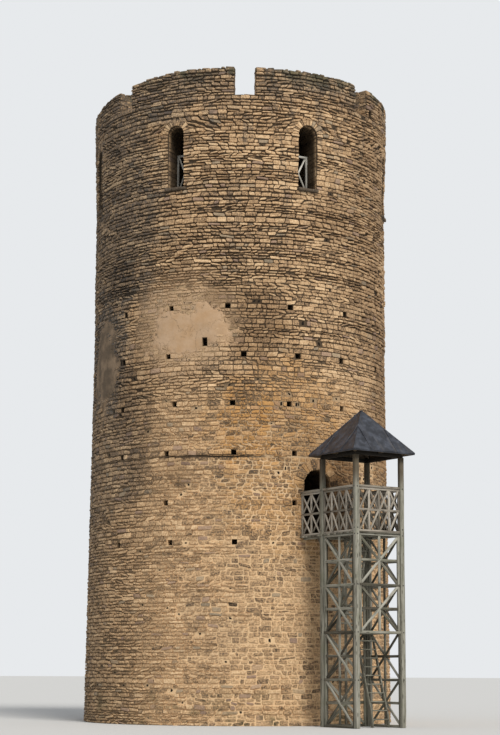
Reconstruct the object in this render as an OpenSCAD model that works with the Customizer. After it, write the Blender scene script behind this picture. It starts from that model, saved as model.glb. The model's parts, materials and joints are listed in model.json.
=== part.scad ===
// Round stone castle keep with a raised doorway, arched gallery doors under the battlements,
// and a timber stair tower with a lattice-railed, pyramid-roofed landing before the doorway.
// Origin: axis of the keep at ground level, +Z up, the timber landing on the -Y side.
// Bearings are degrees from -Y towards +X.

/* [Keep] */
// Radius of the keep at its rim
rim_r = 4460; // [3600:10:5200]
// How far the rim stands out over the upright shaft
rim_flare = 80; // [20:10:120]
// Distance from the merlon tops down to the foot of the flare
flare_drop = 3400; // [3000:10:3700]
// Height of the flare
flare_h = 2400; // [2000:10:2600]
// Height of the merlon tops above the ground
keep_h = 18600; // [18400:10:18900]
// Height up to which the outer face leans inwards
batter_top = 11000; // [9000:10:12500]
// Lean of the outer face below that height, run per rise
batter = 0.01; // [0:0.0001:0.03]

/* [Storeys] */
// Top of the ground floor paving
ground_floor_z = 200; // [100:10:400]
// Top of the entrance floor, which is also the sill of the doorway
entrance_floor_z = 5150; // [4600:10:5300]
// Top of the middle floor
middle_floor_z = 10900; // [10400:10:11300]
// Height from the gallery floor, the sill of the gallery doors, up to the terrace
gallery_h = 2200; // [2150:10:2350]
// Radius of the store below the entrance
store_r = 2200; // [1800:10:2350]
// Radius of the entrance room
entrance_r = 2450; // [2350:10:2600]
// Radius of the middle room
middle_r = 2750; // [2600:10:3000]
// Radius of the gallery room
gallery_r = 3350; // [3100:10:3500]
// Thickness of the floor boards
board_t = 50; // [30:5:70]
// Height of the floor joists
joist_h = 220; // [160:10:240]
// Width of the floor joists
joist_w = 180; // [120:10:260]
// Distance between floor joists
joist_gap = 1000; // [950:10:1200]
// Side of the hatch in each floor
hatch_w = 760; // [600:10:780]
// Distance of each hatch's centre behind the axis
hatch_y = 1500; // [1300:10:1600]

/* [Battlements] */
// Number of crenels, merlons and gallery doors
bays = 7; // [6:1:8]
// Bearing of the first crenel
crenel_turn = -31.5; // [-40:0.5:-25]
// Width of a crenel
crenel_w = 600; // [450:10:800]
// Height of the merlons above the crenel sills
merlon_h = 810; // [700:10:950]
// Height of the crenel sills above the terrace
parapet_h = 440; // [350:10:550]
// Thickness of the parapet and merlons
parapet_t = 500; // [400:10:600]
// Fall of one weathered merlon's top from its middle to its far end
merlon_sag = 150; // [0:10:300]
// Fall of the next merlon's top at its middle
merlon_worn = 330; // [0:10:400]
// Bearing of the hole at the foot of one merlon
merlon_hole_turn = 26.7; // [26.5:0.1:40]
// Width of that hole
merlon_hole_w = 210; // [100:10:220]
// Height of that hole
merlon_hole_h = 250; // [100:10:300]

/* [Gallery doors] */
// Clear width of a gallery door
gallery_door_w = 590; // [500:10:640]
// Clear width of the one narrow gallery door
narrow_door_w = 500; // [450:10:590]
// Height of a gallery door from sill to springing
gallery_spring_h = 1585; // [1500:5:1600]
// Depth of the voussoirs round a gallery door
gallery_ring = 250; // [150:10:300]
// Length of the timber threshold along the wall
threshold_l = 650; // [600:10:750]
// Thickness of the timber threshold
threshold_t = 80; // [60:5:100]
// Length of the threshold in front of the wall face
threshold_out = 110; // [40:10:200]
// Height of the timber barrier in the door
barrier_h = 1140; // [900:10:1250]
// Distance of the barrier behind the wall face
barrier_in = 600; // [300:10:750]
// Thickness of the barrier's members
barrier_t = 60; // [40:5:80]

/* [Arrow slit] */
// Bearing of the slit
slit_turn = 32; // [24:0.5:36]
// Height of the slit's foot
slit_z = 12210; // [11800:10:12800]
// Height of the slit
slit_h = 780; // [500:10:1200]
// Width of the slit at the outer face
slit_w = 100; // [60:5:160]
// Width of the splay at the inner face
slit_splay = 640; // [300:10:800]

/* [Putlog holes] */
// Side of a putlog hole
putlog_w = 150; // [100:10:200]
// Depth of a putlog hole
putlog_in = 380; // [200:10:600]
// Distance between rows of putlog holes
putlog_lift = 1385; // [1340:5:1430]
// Height of the lowest row
putlog_z = 4900; // [4700:10:5050]
// Distance between the lowest row and the second one
first_lift = 1110; // [1100:10:1200]
// Bearing of the single tall hole in the plastered patch
tall_hole_turn = -46; // [-50:0.5:-42]
// Foot of the tall hole
tall_hole_z = 10480; // [10400:10:10550]
// Height of the tall hole
tall_hole_h = 250; // [160:10:300]

/* [Doorway] */
// Distance of the doorway's centre from the landing's centre line
door_x = -250; // [-300:10:-220]
// Clear width of the doorway
door_w = 880; // [760:10:900]
// Height of the doorway from sill to springing
door_spring_h = 1460; // [1400:10:1500]
// Depth of the voussoirs round the doorway
door_ring = 310; // [200:10:330]
// Top of the wall courses level with the arch
door_band_top = 7360; // [7300:10:7600]

/* [Stair tower] */
// Distance of the stair tower's centre in front of the keep's upright face
stage_reach = 1760; // [1720:10:2000]
// Distance between post centres
post_gap = 1520; // [1460:10:1540]
// Side of a post
post_w = 125; // [100:5:150]
// Height of the beams below the deck
beam_h = 50; // [40:5:80]
// Length of the deck beams' ends in the wall
beam_bearing = 250; // [150:10:400]
// Thickness of the deck boards
deck_t = 40; // [30:5:50]
// Storeys of bracing below the stair's landing, and again above it
brace_storeys = 2; // [2:1:3]
// Height of the landing halfway up the stair
landing_h = 2500; // [2300:10:2600]
// Width of the braces, studs and rails
brace_w = 70; // [50:5:80]
// Thickness of the bracing
brace_t = 60; // [40:5:80]
// Gap between a post and the stud beside it
stud_gap = 20; // [10:5:40]
// Foot of the knee braces below the beams
knee_drop = 500; // [300:10:600]
// Reach of the knee braces from the posts towards the keep
knee_run = 300; // [250:10:450]

/* [Railings] */
// Height of the rail cap above the deck
rail_h = 1250; // [1100:10:1350]
// Height of the rail cap
cap_h = 60; // [40:5:80]
// Width of the rail cap
cap_w = 100; // [70:5:130]
// Gap below the bottom rail
rail_foot = 0; // [0:5:100]
// Width of the lattice members
lattice_w = 58; // [30:2:64]
// Thickness of the lattice
lattice_t = 45; // [30:5:60]
// Cells of lattice between two posts
bay_cells = 4; // [3:1:5]
// Cells of lattice between a post and the keep
bridge_cells = 2; // [1:1:3]

/* [Landing roof] */
// Side of the roof at its eaves
eave_w = 2060; // [1900:10:2300]
// Height of the eaves
eave_z = 7320; // [7250:10:7400]
// Rise of the roof above the eaves
roof_rise = 1210; // [900:10:1400]
// Height of the plates on the posts
plate_h = 110; // [80:5:140]
// Thickness of the roof boarding, measured upright
boarding_t = 60; // [50:5:100]
// Height of the eaves fascia
fascia_h = 40; // [30:5:60]
// Thickness of the roof sheets, measured upright
sheet_t = 8; // [4:1:12]
// Height of the standing seams, measured upright
seam_h = 34; // [20:2:50]
// Width of the standing seams
seam_w = 16; // [10:1:24]
// Share of the eaves between a hip and the seam beside it
seam_share = 0.29; // [0.22:0.01:0.36]
// Distance of the rafters' feet behind the eaves
rafter_back = 60; // [40:5:90]
// Width of the rafters
rafter_w = 70; // [50:5:90]
// Height of the rafters, measured upright
rafter_h = 240; // [220:5:260]

/* [Stair] */
// Depth of the landing halfway up, and of the deck beyond the last flight
landing_d = 340; // [300:10:400]
// Width of a flight over its stringers
flight_w = 580; // [540:5:590]
// Thickness of a stringer
stringer_t = 40; // [30:5:50]
// Depth of a stringer, measured upright
stringer_h = 420; // [300:10:480]
// Steps in a flight, the level above being the last
steps = 11; // [10:1:12]
// Depth of a tread
tread_d = 150; // [120:5:170]
// Thickness of a tread
tread_t = 32; // [24:2:40]

/* [Hidden] */
$fn = 96;

stone = [0.66, 0.55, 0.41];
paving = [0.56, 0.52, 0.46];
oak = [0.42, 0.34, 0.25];
grey_timber = [0.50, 0.48, 0.41];
roof_metal = [0.13, 0.14, 0.17];

// Cuts reach this far past the faces that they cut through
past = 40;
// The splay of the slit reaches its full width this far inside the curved inner face
splay_past = 5 * past;
// Clearance between pieces that are slid into place
fit_gap = 2;
// Width of the beams below the deck
beam_w = 70;

bay = 360 / bays;
shaft_r = rim_r - rim_flare;
crenel_z = keep_h - merlon_h;
terrace_z = crenel_z - parapet_h;
gallery_floor_z = terrace_z - gallery_h;
flare_z = keep_h - flare_drop;
flare_top_z = flare_z + flare_h;
wall_out = max(rim_r, shaft_r + batter * batter_top) + past;
door_spring_z = entrance_floor_z + door_spring_h;
gallery_spring_z = gallery_floor_z + gallery_spring_h;
threshold_z = gallery_floor_z - threshold_t;
floor_t = board_t + joist_h;
parapet_r = rim_r - parapet_t;

deck_z = entrance_floor_z;
stage_y = shaft_r + stage_reach;
beam_z = deck_z - deck_t - beam_h;
post_at = post_gap / 2;
post_in = post_at - post_w / 2;
front_y = -stage_y - post_at;
back_y = -stage_y + post_at;
lift = landing_h / brace_storeys;
landing_z = landing_h;
landing_top = landing_z + brace_w / 2;
plate_z = eave_z - plate_h;
roof_slope = roof_rise / (eave_w / 2);
beam_in = post_in - beam_w;
flight_run = 2 * (post_in - landing_d);
flight_x = beam_in - fit_gap - flight_w / 2;

// Radius of the keep's outer face at a height: it leans in, stands upright, then flares
function face_r(z) = shaft_r + batter * max(0, batter_top - z)
    + rim_flare * min(1, max(0, (z - flare_z) / flare_h));

// Corners of the outer face between two heights, from the lower one up
function face(z0, z1) = concat([[face_r(z0), z0]],
    [for (z = [batter_top, flare_z, flare_top_z]) if (z > z0 && z < z1) [face_r(z), z]],
    [[face_r(z1), z1]]);

// How far in front of the axis the outer face stands at a distance from the centre line
function face_y(x, z) = sqrt(pow(face_r(z), 2) - x * x);

// Carries a shape built on the -Y side round to a bearing
module at_bearing(turn) {
    rotate([0, 0, turn]) children();
}

// One stretch of round wall, thinner above the ledge that carries the next floor
module wall_arc(turn0, turn1, z0, z1, r, ledge_z, r_above) {
    stepped = ledge_z < z1
        ? [[r_above, z1], [r_above, ledge_z], [r, ledge_z], [r, z0]]
        : [[r, z1], [r, z0]];
    rotate([0, 0, turn0 - 90])
        rotate_extrude(angle = turn1 - turn0)
            polygon(concat(face(z0, z1), stepped));
}

// Every second eighth of the wall: front, sides and back at 0, the four between them at 45
module wall_eighths(turn, z0, z1, r, ledge_z, r_above) {
    for (side = [0 : 90 : 270])
        wall_arc(turn + side - 22.5, turn + side + 22.5, z0, z1, r, ledge_z, r_above);
}

// A round-headed passage along Y, from the sill to above the arch
module arched_passage(w, sill_z, spring_z, y0, y1) {
    translate([-w / 2, y0, sill_z]) cube([w, y1 - y0, spring_z - sill_z]);
    translate([0, y0, spring_z]) rotate([-90, 0, 0]) cylinder(d = w, h = y1 - y0);
}

// One blind hole from the outer face, square to it
module blind_hole(turn, z, w, h) {
    at_bearing(turn)
        translate([-w / 2, -wall_out, z])
            cube([w, wall_out - face_r(z) + putlog_in, h]);
}

module putlog(turn, z) {
    blind_hole(turn, z, putlog_w, putlog_w);
}

// Bearings of the holes in each row where the photographed side shows them
putlog_seen = [
    [-102, -83, -58.5, -34.5],
    [-104.5, -60.5, -12.5],
    [-82, -60.5, -35, -12.5],
    [-82.5, -57.5, -35.5, -14.5, 8.5],
    [-82.5, -60.5, -31.5, -11, 8.5],
    [-81.5, -59.5, -37.5, -14, 10.5]];
// Round the rest of the wall they are a sixteenth of a turn apart
putlog_rest = [for (k = [0 : 9]) 32.5 + 22.5 * k];

function putlog_row_z(row) = putlog_z + (row == 0 ? 0 : first_lift + (row - 1) * putlog_lift);

module putlog_rows(z0, z1) {
    for (row = [0 : len(putlog_seen) - 1])
        let (z = putlog_row_z(row))
            if (z + putlog_w > z0 && z < z1)
                for (turn = concat(putlog_seen[row], putlog_rest)) putlog(turn, z);
}

module ground_floor() {
    color(paving) cylinder(r = store_r, h = ground_floor_z);
}

module base_wall_cardinal() {
    color(stone)
        difference() {
            wall_eighths(0, 0, entrance_floor_z, store_r, entrance_floor_z - floor_t, entrance_r);
            beam_pockets();
            putlog_rows(0, entrance_floor_z);
        }
}

module base_wall_diagonal() {
    color(stone)
        difference() {
            wall_eighths(45, 0, entrance_floor_z, store_r, entrance_floor_z - floor_t, entrance_r);
            putlog_rows(0, entrance_floor_z);
        }
}

module entrance_wall_cardinal() {
    color(stone)
        difference() {
            wall_eighths(0, entrance_floor_z, door_band_top, entrance_r, door_band_top, entrance_r);
            doorway_gap();
            door_head_block();
            putlog_rows(entrance_floor_z, door_band_top);
        }
}

module entrance_wall_diagonal() {
    color(stone)
        difference() {
            wall_eighths(45, entrance_floor_z, door_band_top, entrance_r, door_band_top, entrance_r);
            putlog_rows(entrance_floor_z, door_band_top);
        }
}

// The doorway's clear passage through the wall
module doorway_gap() {
    translate([door_x, 0, 0])
        arched_passage(door_w, entrance_floor_z - past, door_spring_z, -wall_out, 0);
}

// The block of wall that holds the doorway's arch, seated on both jambs
module door_head_block() {
    block_w = door_w + 2 * door_ring;
    translate([door_x - block_w / 2, -wall_out, door_spring_z])
        cube([block_w, wall_out, door_band_top - door_spring_z + past]);
}

module door_head() {
    color(stone)
        difference() {
            intersection() {
                wall_arc(-22.5, 22.5, entrance_floor_z, door_band_top, entrance_r, door_band_top, entrance_r);
                door_head_block();
            }
            doorway_gap();
        }
}

module upper_wall_cardinal() {
    color(stone)
        difference() {
            wall_eighths(0, door_band_top, middle_floor_z, entrance_r, middle_floor_z - floor_t, middle_r);
            putlog_rows(door_band_top, middle_floor_z);
        }
}

module upper_wall_diagonal() {
    color(stone)
        difference() {
            wall_eighths(45, door_band_top, middle_floor_z, entrance_r, middle_floor_z - floor_t, middle_r);
            putlog_rows(door_band_top, middle_floor_z);
            blind_hole(tall_hole_turn, tall_hole_z, putlog_w, tall_hole_h);
        }
}

module middle_wall_cardinal() {
    color(stone)
        difference() {
            wall_eighths(0, middle_floor_z, threshold_z, middle_r, gallery_floor_z - floor_t, gallery_r);
            putlog_rows(middle_floor_z, threshold_z);
        }
}

module middle_wall_diagonal() {
    color(stone)
        difference() {
            wall_eighths(45, middle_floor_z, threshold_z, middle_r, gallery_floor_z - floor_t, gallery_r);
            arrow_slit();
            putlog_rows(middle_floor_z, threshold_z);
        }
}

// The slit widens inwards, as an archer's embrasure does
module arrow_slit() {
    at_bearing(slit_turn)
        translate([0, 0, slit_z])
            linear_extrude(slit_h)
                polygon([[-slit_w / 2, -wall_out], [slit_w / 2, -wall_out],
                         [slit_w / 2, -face_r(slit_z)], [slit_splay / 2, -middle_r + splay_past],
                         [-slit_splay / 2, -middle_r + splay_past], [-slit_w / 2, -face_r(slit_z)]]);
}

// How far each gallery door sits beside the middle between its two crenels, in degrees
door_shift = [-1.2, 1.2, 0, 0, 0, 2, -0.9];

function door_turn(k) = crenel_turn + (k + 0.5) * bay + door_shift[k % len(door_shift)];
function door_width(k) = k == bays - 1 ? narrow_door_w : gallery_door_w;

// The blocks of wall that hold the arches over the gallery doors
module gallery_arch_blocks() {
    for (k = [0 : bays - 1])
        let (block_w = door_width(k) + 2 * gallery_ring)
            at_bearing(door_turn(k))
                translate([-block_w / 2, -wall_out, gallery_spring_z])
                    cube([block_w, wall_out - gallery_r / 2, terrace_z - gallery_spring_z + past]);
}

module gallery_doors() {
    for (k = [0 : bays - 1])
        at_bearing(door_turn(k))
            arched_passage(door_width(k), threshold_z - past, gallery_spring_z,
                           -wall_out, -gallery_r / 2);
}

module gallery_ring_wall() {
    wall_arc(0, 360, threshold_z, terrace_z, gallery_r, terrace_z - floor_t, parapet_r);
}

module gallery_piers() {
    color(stone)
        difference() {
            gallery_ring_wall();
            gallery_doors();
            gallery_arch_blocks();
            threshold_beds();
        }
}

module gallery_arches() {
    color(stone)
        difference() {
            intersection() {
                gallery_ring_wall();
                gallery_arch_blocks();
            }
            gallery_doors();
        }
}

// A plank over each gallery door's sill, with its ends under the jambs
module threshold(k) {
    front = face_r(threshold_z) + threshold_out;
    at_bearing(door_turn(k))
        translate([-threshold_l / 2, -front, threshold_z])
            cube([threshold_l, front - gallery_r - fit_gap, threshold_t]);
}

module threshold_beds() {
    for (k = [0 : bays - 1]) threshold(k);
}

module gallery_thresholds() {
    color(oak) threshold_beds();
}

// A light timber barrier: two side posts, a top and a bottom rail and a cross
module barrier(w) {
    foot = barrier_t;
    rise = barrier_h - foot;
    linear_extrude(barrier_t)
        union() {
            for (x = [-w / 2, w / 2 - barrier_t])
                translate([x, 0]) square([barrier_t, barrier_h]);
            for (z = [foot, barrier_h - barrier_t])
                translate([-w / 2, z]) square([w, barrier_t]);
            intersection() {
                translate([-w / 2, foot]) square([w, rise]);
                union() {
                    bar([-w / 2, foot], [w / 2, barrier_h], barrier_t * 0.8);
                    bar([-w / 2, barrier_h], [w / 2, foot], barrier_t * 0.8);
                }
            }
        }
}

module gallery_barriers() {
    color(grey_timber)
        for (k = [0 : bays - 1])
            at_bearing(door_turn(k))
                translate([0, -face_r(gallery_floor_z) + barrier_in, gallery_floor_z])
                    rotate([90, 0, 0]) barrier(door_width(k));
}

module parapet() {
    color(stone)
        wall_arc(0, 360, terrace_z, crenel_z, parapet_r, crenel_z, parapet_r);
}

// Cuts a merlon's top down to a plane that falls towards its far end
module worn_top(turn, top_z, from_x) {
    half = rim_r * sin(bay / 2);
    at_bearing(turn)
        translate([0, -wall_out, top_z])
            rotate([0, -atan(merlon_sag / half), 0])
                translate([-half, 0, 0])
                    cube([half + from_x, wall_out - parapet_r * 0.7, merlon_h]);
}

// One merlon has weathered down towards its far end, the next one over all its length, and
// the one beside the second crenel has a hole at its foot
module merlons() {
    color(stone)
        difference() {
            wall_arc(0, 360, crenel_z, keep_h, parapet_r, keep_h, parapet_r);
            for (k = [0 : bays - 1])
                at_bearing(crenel_turn + k * bay)
                    translate([-crenel_w / 2, -wall_out, crenel_z - past])
                        cube([crenel_w, wall_out - parapet_r / 2, keep_h]);
            worn_top(crenel_turn - bay / 2, keep_h, 0);
            worn_top(crenel_turn - 1.5 * bay, keep_h - merlon_worn, rim_r * sin(bay / 2));
            blind_hole(merlon_hole_turn, crenel_z - past, merlon_hole_w, merlon_hole_h + past);
        }
}

// Joists of one floor, parallel to Y, seated on the ledge of the wall
module joists(floor_z, r) {
    last = floor((r - joist_gap / 2 - joist_w) / joist_gap);
    for (k = [0 : last], side = [-1, 1])
        let (x = (k + 0.5) * joist_gap, half = sqrt(r * r - pow(x + joist_w / 2, 2)) - fit_gap)
            translate([side * x - joist_w / 2, -half, floor_z - floor_t])
                cube([joist_w, 2 * half, joist_h]);
}

module floor_joists() {
    color(oak) {
        joists(entrance_floor_z, entrance_r);
        joists(middle_floor_z, middle_r);
        joists(gallery_floor_z, gallery_r);
        joists(terrace_z, parapet_r);
    }
}

// Boards of one floor, with the hatch behind the axis
module floor_disc(floor_z, r) {
    difference() {
        translate([0, 0, floor_z - board_t]) cylinder(r = r, h = board_t);
        translate([-hatch_w / 2, hatch_y - hatch_w / 2, floor_z - board_t - past])
            cube([hatch_w, hatch_w, board_t + 2 * past]);
    }
}

module entrance_floor() { color(oak) floor_disc(entrance_floor_z, entrance_r); }
module middle_floor() { color(oak) floor_disc(middle_floor_z, middle_r); }
module gallery_floor() { color(oak) floor_disc(gallery_floor_z, gallery_r); }
module terrace_floor() { color(paving) floor_disc(terrace_z, parapet_r); }

module corner_posts() {
    color(grey_timber)
        for (x = [-post_at, post_at], y = [front_y, back_y])
            translate([x - post_w / 2, y - post_w / 2, 0])
                cube([post_w, post_w, plate_z]);
}

// A bar between two points of a drawing, cut square
module bar(a, b, w) {
    d = b - a;
    translate((a + b) / 2)
        rotate(atan2(d[1], d[0]))
            square([norm(d), w], center = true);
}

// One face of bracing in outline: studs, rails, and a cross with its centre lines in each storey
module bracing_outline(first) {
    half = post_in - stud_gap;
    for (x = [-half, half - brace_w])
        translate([x, first * lift]) square([brace_w, beam_z - first * lift]);
    for (k = [first : 2 * brace_storeys - 1]) {
        foot = max(k * lift, brace_w / 2);
        head = k == 2 * brace_storeys - 1 ? beam_z : (k + 1) * lift;
        mid = (foot + head) / 2;
        translate([-post_in, foot - brace_w / 2]) square([2 * post_in, brace_w]);
        translate([-half, mid - brace_w / 2]) square([2 * half, brace_w]);
        translate([-brace_w / 2, foot]) square([brace_w, head - foot]);
        intersection() {
            translate([-half, foot]) square([2 * half, head - foot]);
            union() {
                bar([-half, foot], [half, head], brace_w);
                bar([-half, head], [half, foot], brace_w);
            }
        }
    }
}

module bracing(first) {
    translate([0, brace_t / 2, 0])
        rotate([90, 0, 0])
            linear_extrude(brace_t) bracing_outline(first);
}

// The front is open below the landing, for the way in
module front_bracing() {
    color(grey_timber) translate([0, front_y, 0]) bracing(brace_storeys);
}

module back_bracing() {
    color(grey_timber) translate([0, back_y, 0]) bracing(0);
}

module side_bracing(side) {
    translate([side * post_at, -stage_y, 0]) rotate([0, 0, 90]) bracing(0);
}

module left_bracing() { color(grey_timber) side_bracing(-1); }
module right_bracing() { color(grey_timber) side_bracing(1); }

// The bridge beams run along the inner faces of the posts and into the keep's wall
module bridge_beam(side) {
    end_y = -face_y(post_in, beam_z) + beam_bearing;
    start_y = front_y + beam_w / 2;
    translate([side > 0 ? beam_in : -post_in, start_y, beam_z])
        cube([beam_w, end_y - start_y, beam_h]);
}

module bridge_beams() {
    color(grey_timber)
        for (side = [-1, 1]) bridge_beam(side);
}

module beam_pockets() {
    for (side = [-1, 1]) bridge_beam(side);
}

// A beam parallel to X, between two distances from the centre line
module deck_beam(half, y) {
    translate([-half, y, beam_z]) cube([2 * half, beam_w, beam_h]);
}

// Edge beams between the posts, and trimmers on both sides of the stair's hatch
module deck_beams() {
    color(grey_timber) {
        deck_beam(post_in, front_y - beam_w / 2);
        deck_beam(beam_in, back_y - beam_w / 2);
        deck_beam(beam_in, -stage_y - flight_run / 2 - beam_w);
        deck_beam(beam_in, -stage_y + flight_run / 2);
        for (side = [-1, 1])
            translate([side * post_at - beam_w / 2, -stage_y - post_in, beam_z])
                cube([beam_w, 2 * post_in, beam_h]);
    }
}

// Braces from the inner faces of the back posts up to the bridge beams
module knee_braces() {
    foot_y = back_y + brace_t / 2;
    foot_z = beam_z - knee_drop;
    head_y = foot_y + knee_run;
    slant = norm([knee_run, knee_drop]);
    color(grey_timber)
        for (side = [-1, 1])
            translate([side > 0 ? beam_in : -post_in, 0, 0])
                rotate([90, 0, 90])
                    linear_extrude(beam_w)
                        polygon([[foot_y, foot_z], [head_y, beam_z],
                                 [head_y - brace_w * slant / knee_drop, beam_z],
                                 [foot_y, foot_z + brace_w * slant / knee_run]]);
}

module deck_boards() {
    half = post_at + post_w / 2;
    start_y = front_y - post_w / 2;
    color(grey_timber)
        difference() {
            translate([-half, start_y, deck_z - deck_t])
                cube([2 * half, -face_y(half, deck_z) - start_y, deck_t]);
            for (x = [-post_at, post_at], y = [front_y, back_y])
                translate([x - post_w / 2, y - post_w / 2, deck_z - 2 * deck_t])
                    cube([post_w, post_w, 3 * deck_t]);
            translate([0, 0, deck_z - 2 * deck_t])
                cylinder(r = face_r(deck_z - deck_t) + fit_gap, h = 3 * deck_t, $fn = 360);
            stair_hatch();
        }
}

// The hole in the deck over the upper flight
module stair_hatch() {
    translate([-beam_in, -stage_y - flight_run / 2, deck_z - 2 * deck_t])
        cube([flight_w + 2 * fit_gap, flight_run, 3 * deck_t]);
}

// One stretch of lattice railing in outline, of a length, with a number of cells
module lattice_outline(length, cells) {
    top = rail_h - cap_h;
    mid = (rail_foot + top) / 2;
    pitch = (length - lattice_w) / cells;
    intersection() {
        translate([0, rail_foot]) square([length, top - rail_foot + 1]);
        union() {
            for (z = [rail_foot + lattice_w / 2, mid, top - lattice_w / 2])
                translate([0, z - lattice_w / 2]) square([length, lattice_w]);
            for (k = [0 : cells])
                translate([k * pitch, rail_foot]) square([lattice_w, top - rail_foot]);
            for (k = [0 : cells - 1], z = [rail_foot, mid])
                let (x0 = k * pitch + lattice_w / 2, x1 = x0 + pitch, z1 = z + (top - rail_foot) / 2) {
                    bar([x0, z], [x1, z1], lattice_w);
                    bar([x0, z1], [x1, z], lattice_w);
                }
        }
    }
}

// The railing stands on the deck, with the cap over the lattice
module railing(length, cells) {
    translate([0, lattice_t / 2, 0])
        rotate([90, 0, 0])
            linear_extrude(lattice_t) lattice_outline(length, cells);
    translate([0, -cap_w / 2, rail_h - cap_h]) cube([length, cap_w, cap_h]);
}

module front_railing() {
    color(grey_timber) translate([-post_in, front_y, deck_z]) railing(2 * post_in, bay_cells);
}

module side_railing(side) {
    translate([side * post_at, -stage_y - post_in, deck_z])
        rotate([0, 0, 90]) railing(2 * post_in, bay_cells);
}

module bridge_railing(side) {
    start = back_y + post_w / 2;
    end_y = -face_y(post_at - cap_w / 2, deck_z) - fit_gap;
    translate([side * post_at, start, deck_z])
        rotate([0, 0, 90]) railing(end_y - start, bridge_cells);
}

module left_railing() { color(grey_timber) side_railing(-1); }
module right_railing() { color(grey_timber) side_railing(1); }
module left_bridge_railing() { color(grey_timber) bridge_railing(-1); }
module right_bridge_railing() { color(grey_timber) bridge_railing(1); }

// A square ring of beams, measured between centres
module beam_ring(gap, w, h) {
    difference() {
        translate([-(gap + w) / 2, -(gap + w) / 2, 0]) cube([gap + w, gap + w, h]);
        translate([-(gap - w) / 2, -(gap - w) / 2, -past]) cube([gap - w, gap - w, h + 2 * past]);
    }
}

module head_plates() {
    color(grey_timber)
        translate([0, -stage_y, plate_z]) beam_ring(post_gap, post_w * 0.75, plate_h);
}

// A pyramid over the eaves, raised or lowered, made by crossing two gables
module pyramid(raise) {
    half = eave_w / 2;
    reach = half + past;
    top_z = eave_z + roof_rise + raise;
    foot_z = eave_z + roof_rise + raise - roof_slope * reach;
    translate([0, -stage_y, 0])
        intersection() {
            gable(reach, foot_z, top_z);
            rotate([0, 0, 90]) gable(reach, foot_z, top_z);
        }
}

module gable(reach, foot_z, top_z) {
    translate([0, reach, 0])
        rotate([90, 0, 0])
            linear_extrude(2 * reach)
                polygon([[-reach, foot_z], [reach, foot_z], [0, top_z]]);
}

// A square block on the roof's plan, from a height upwards
module roof_block(half, z0, h) {
    translate([-half, -stage_y - half, z0]) cube([2 * half, 2 * half, h]);
}

module roof_boarding() {
    half = eave_w / 2;
    color(oak)
        difference() {
            intersection() {
                pyramid(0);
                roof_block(half, eave_z - fascia_h, roof_rise + fascia_h);
            }
            pyramid(-boarding_t);
        }
}

// Standing seams of one slope, which run up to the hips
module slope_seams() {
    half = eave_w / 2 + sheet_t;
    for (side = [-1, 1])
        let (x = side * (0.5 - seam_share) * eave_w)
            translate([x - seam_w / 2, -half, 0])
                cube([seam_w, half - abs(x) + seam_w, eave_z + 2 * roof_rise]);
}

module roof_sheets() {
    half = eave_w / 2;
    cover = half + sheet_t;
    color(roof_metal)
        difference() {
            union() {
                intersection() {
                    pyramid(sheet_t);
                    roof_block(cover, eave_z - fascia_h, roof_rise + 2 * fascia_h);
                }
                intersection() {
                    pyramid(seam_h);
                    roof_block(cover, eave_z - fascia_h, 2 * roof_rise);
                    translate([0, -stage_y, 0])
                        union() {
                            for (turn = [0 : 90 : 270]) rotate([0, 0, turn]) slope_seams();
                            for (turn = [45, 135])
                                rotate([0, 0, turn])
                                    translate([-eave_w, -seam_w / 2, 0])
                                        cube([2 * eave_w, seam_w, eave_z + 2 * roof_rise]);
                        }
                }
            }
            intersection() {
                pyramid(0);
                roof_block(half, 0, eave_z + roof_rise);
            }
        }
}

// Hip and middle rafters, notched over the plates and level at their feet
module rafters() {
    plate_half = (post_gap + post_w * 0.75) / 2;
    reach = eave_w / 2 - rafter_back;
    color(oak)
        difference() {
            intersection() {
                pyramid(-boarding_t);
                roof_block(reach, eave_z - fascia_h, roof_rise + fascia_h);
                translate([0, -stage_y, 0])
                    for (turn = [0 : 45 : 135])
                        rotate([0, 0, turn])
                            translate([-eave_w, -rafter_w / 2, 0])
                                cube([2 * eave_w, rafter_w, eave_z + roof_rise]);
            }
            pyramid(-boarding_t - rafter_h);
            roof_block(plate_half, 0, eave_z);
        }
}

// Places a flight that rises from y = 0 to y = flight_run: the lower flight runs
// towards the keep on the right, the upper one back outwards on the left
module flight_place(upper) {
    translate([upper ? -flight_x : flight_x, -stage_y, 0])
        rotate([0, 0, upper ? 180 : 0])
            translate([0, -flight_run / 2, 0]) children();
}

module stair_stringers() {
    color(grey_timber)
        for (upper = [false, true])
            flight_place(upper)
                for (x = [-flight_w / 2, flight_w / 2 - stringer_t])
                    translate([x, 0, 0])
                        if (upper) stringer(landing_top - brace_w / 2, deck_z - fit_gap);
                        else stringer(0, landing_top - fit_gap);
}

// A stringer between two levels: level at its foot, upright at its head
module stringer(z0, z1) {
    slope = (z1 - z0 - stringer_h / 2) / flight_run;
    rotate([90, 0, 90])
        linear_extrude(stringer_t)
            polygon([[0, z0 + stringer_h / 2], [0, z0], [stringer_h / 2 / slope, z0],
                     [flight_run, z1 - stringer_h / 2], [flight_run, z1]]);
}

module flight_treads(z0, z1) {
    rise = (z1 - z0) / steps;
    for (n = [1 : steps - 1])
        translate([-flight_w / 2 + stringer_t,
                   flight_run * n / steps - tread_d / 2,
                   z0 + n * rise - tread_t])
            cube([flight_w - 2 * stringer_t, tread_d, tread_t]);
}

module stair_treads() {
    color(grey_timber) {
        flight_place(false) flight_treads(0, landing_top);
        flight_place(true) flight_treads(landing_top, deck_z);
    }
}

// The landing spans between the side bracing, level with its middle rails
module stair_landing() {
    half = post_at - brace_t / 2;
    color(grey_timber)
        translate([-half, -stage_y + post_in - landing_d, landing_z - brace_w / 2])
            cube([2 * half, landing_d, brace_w]);
}

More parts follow.
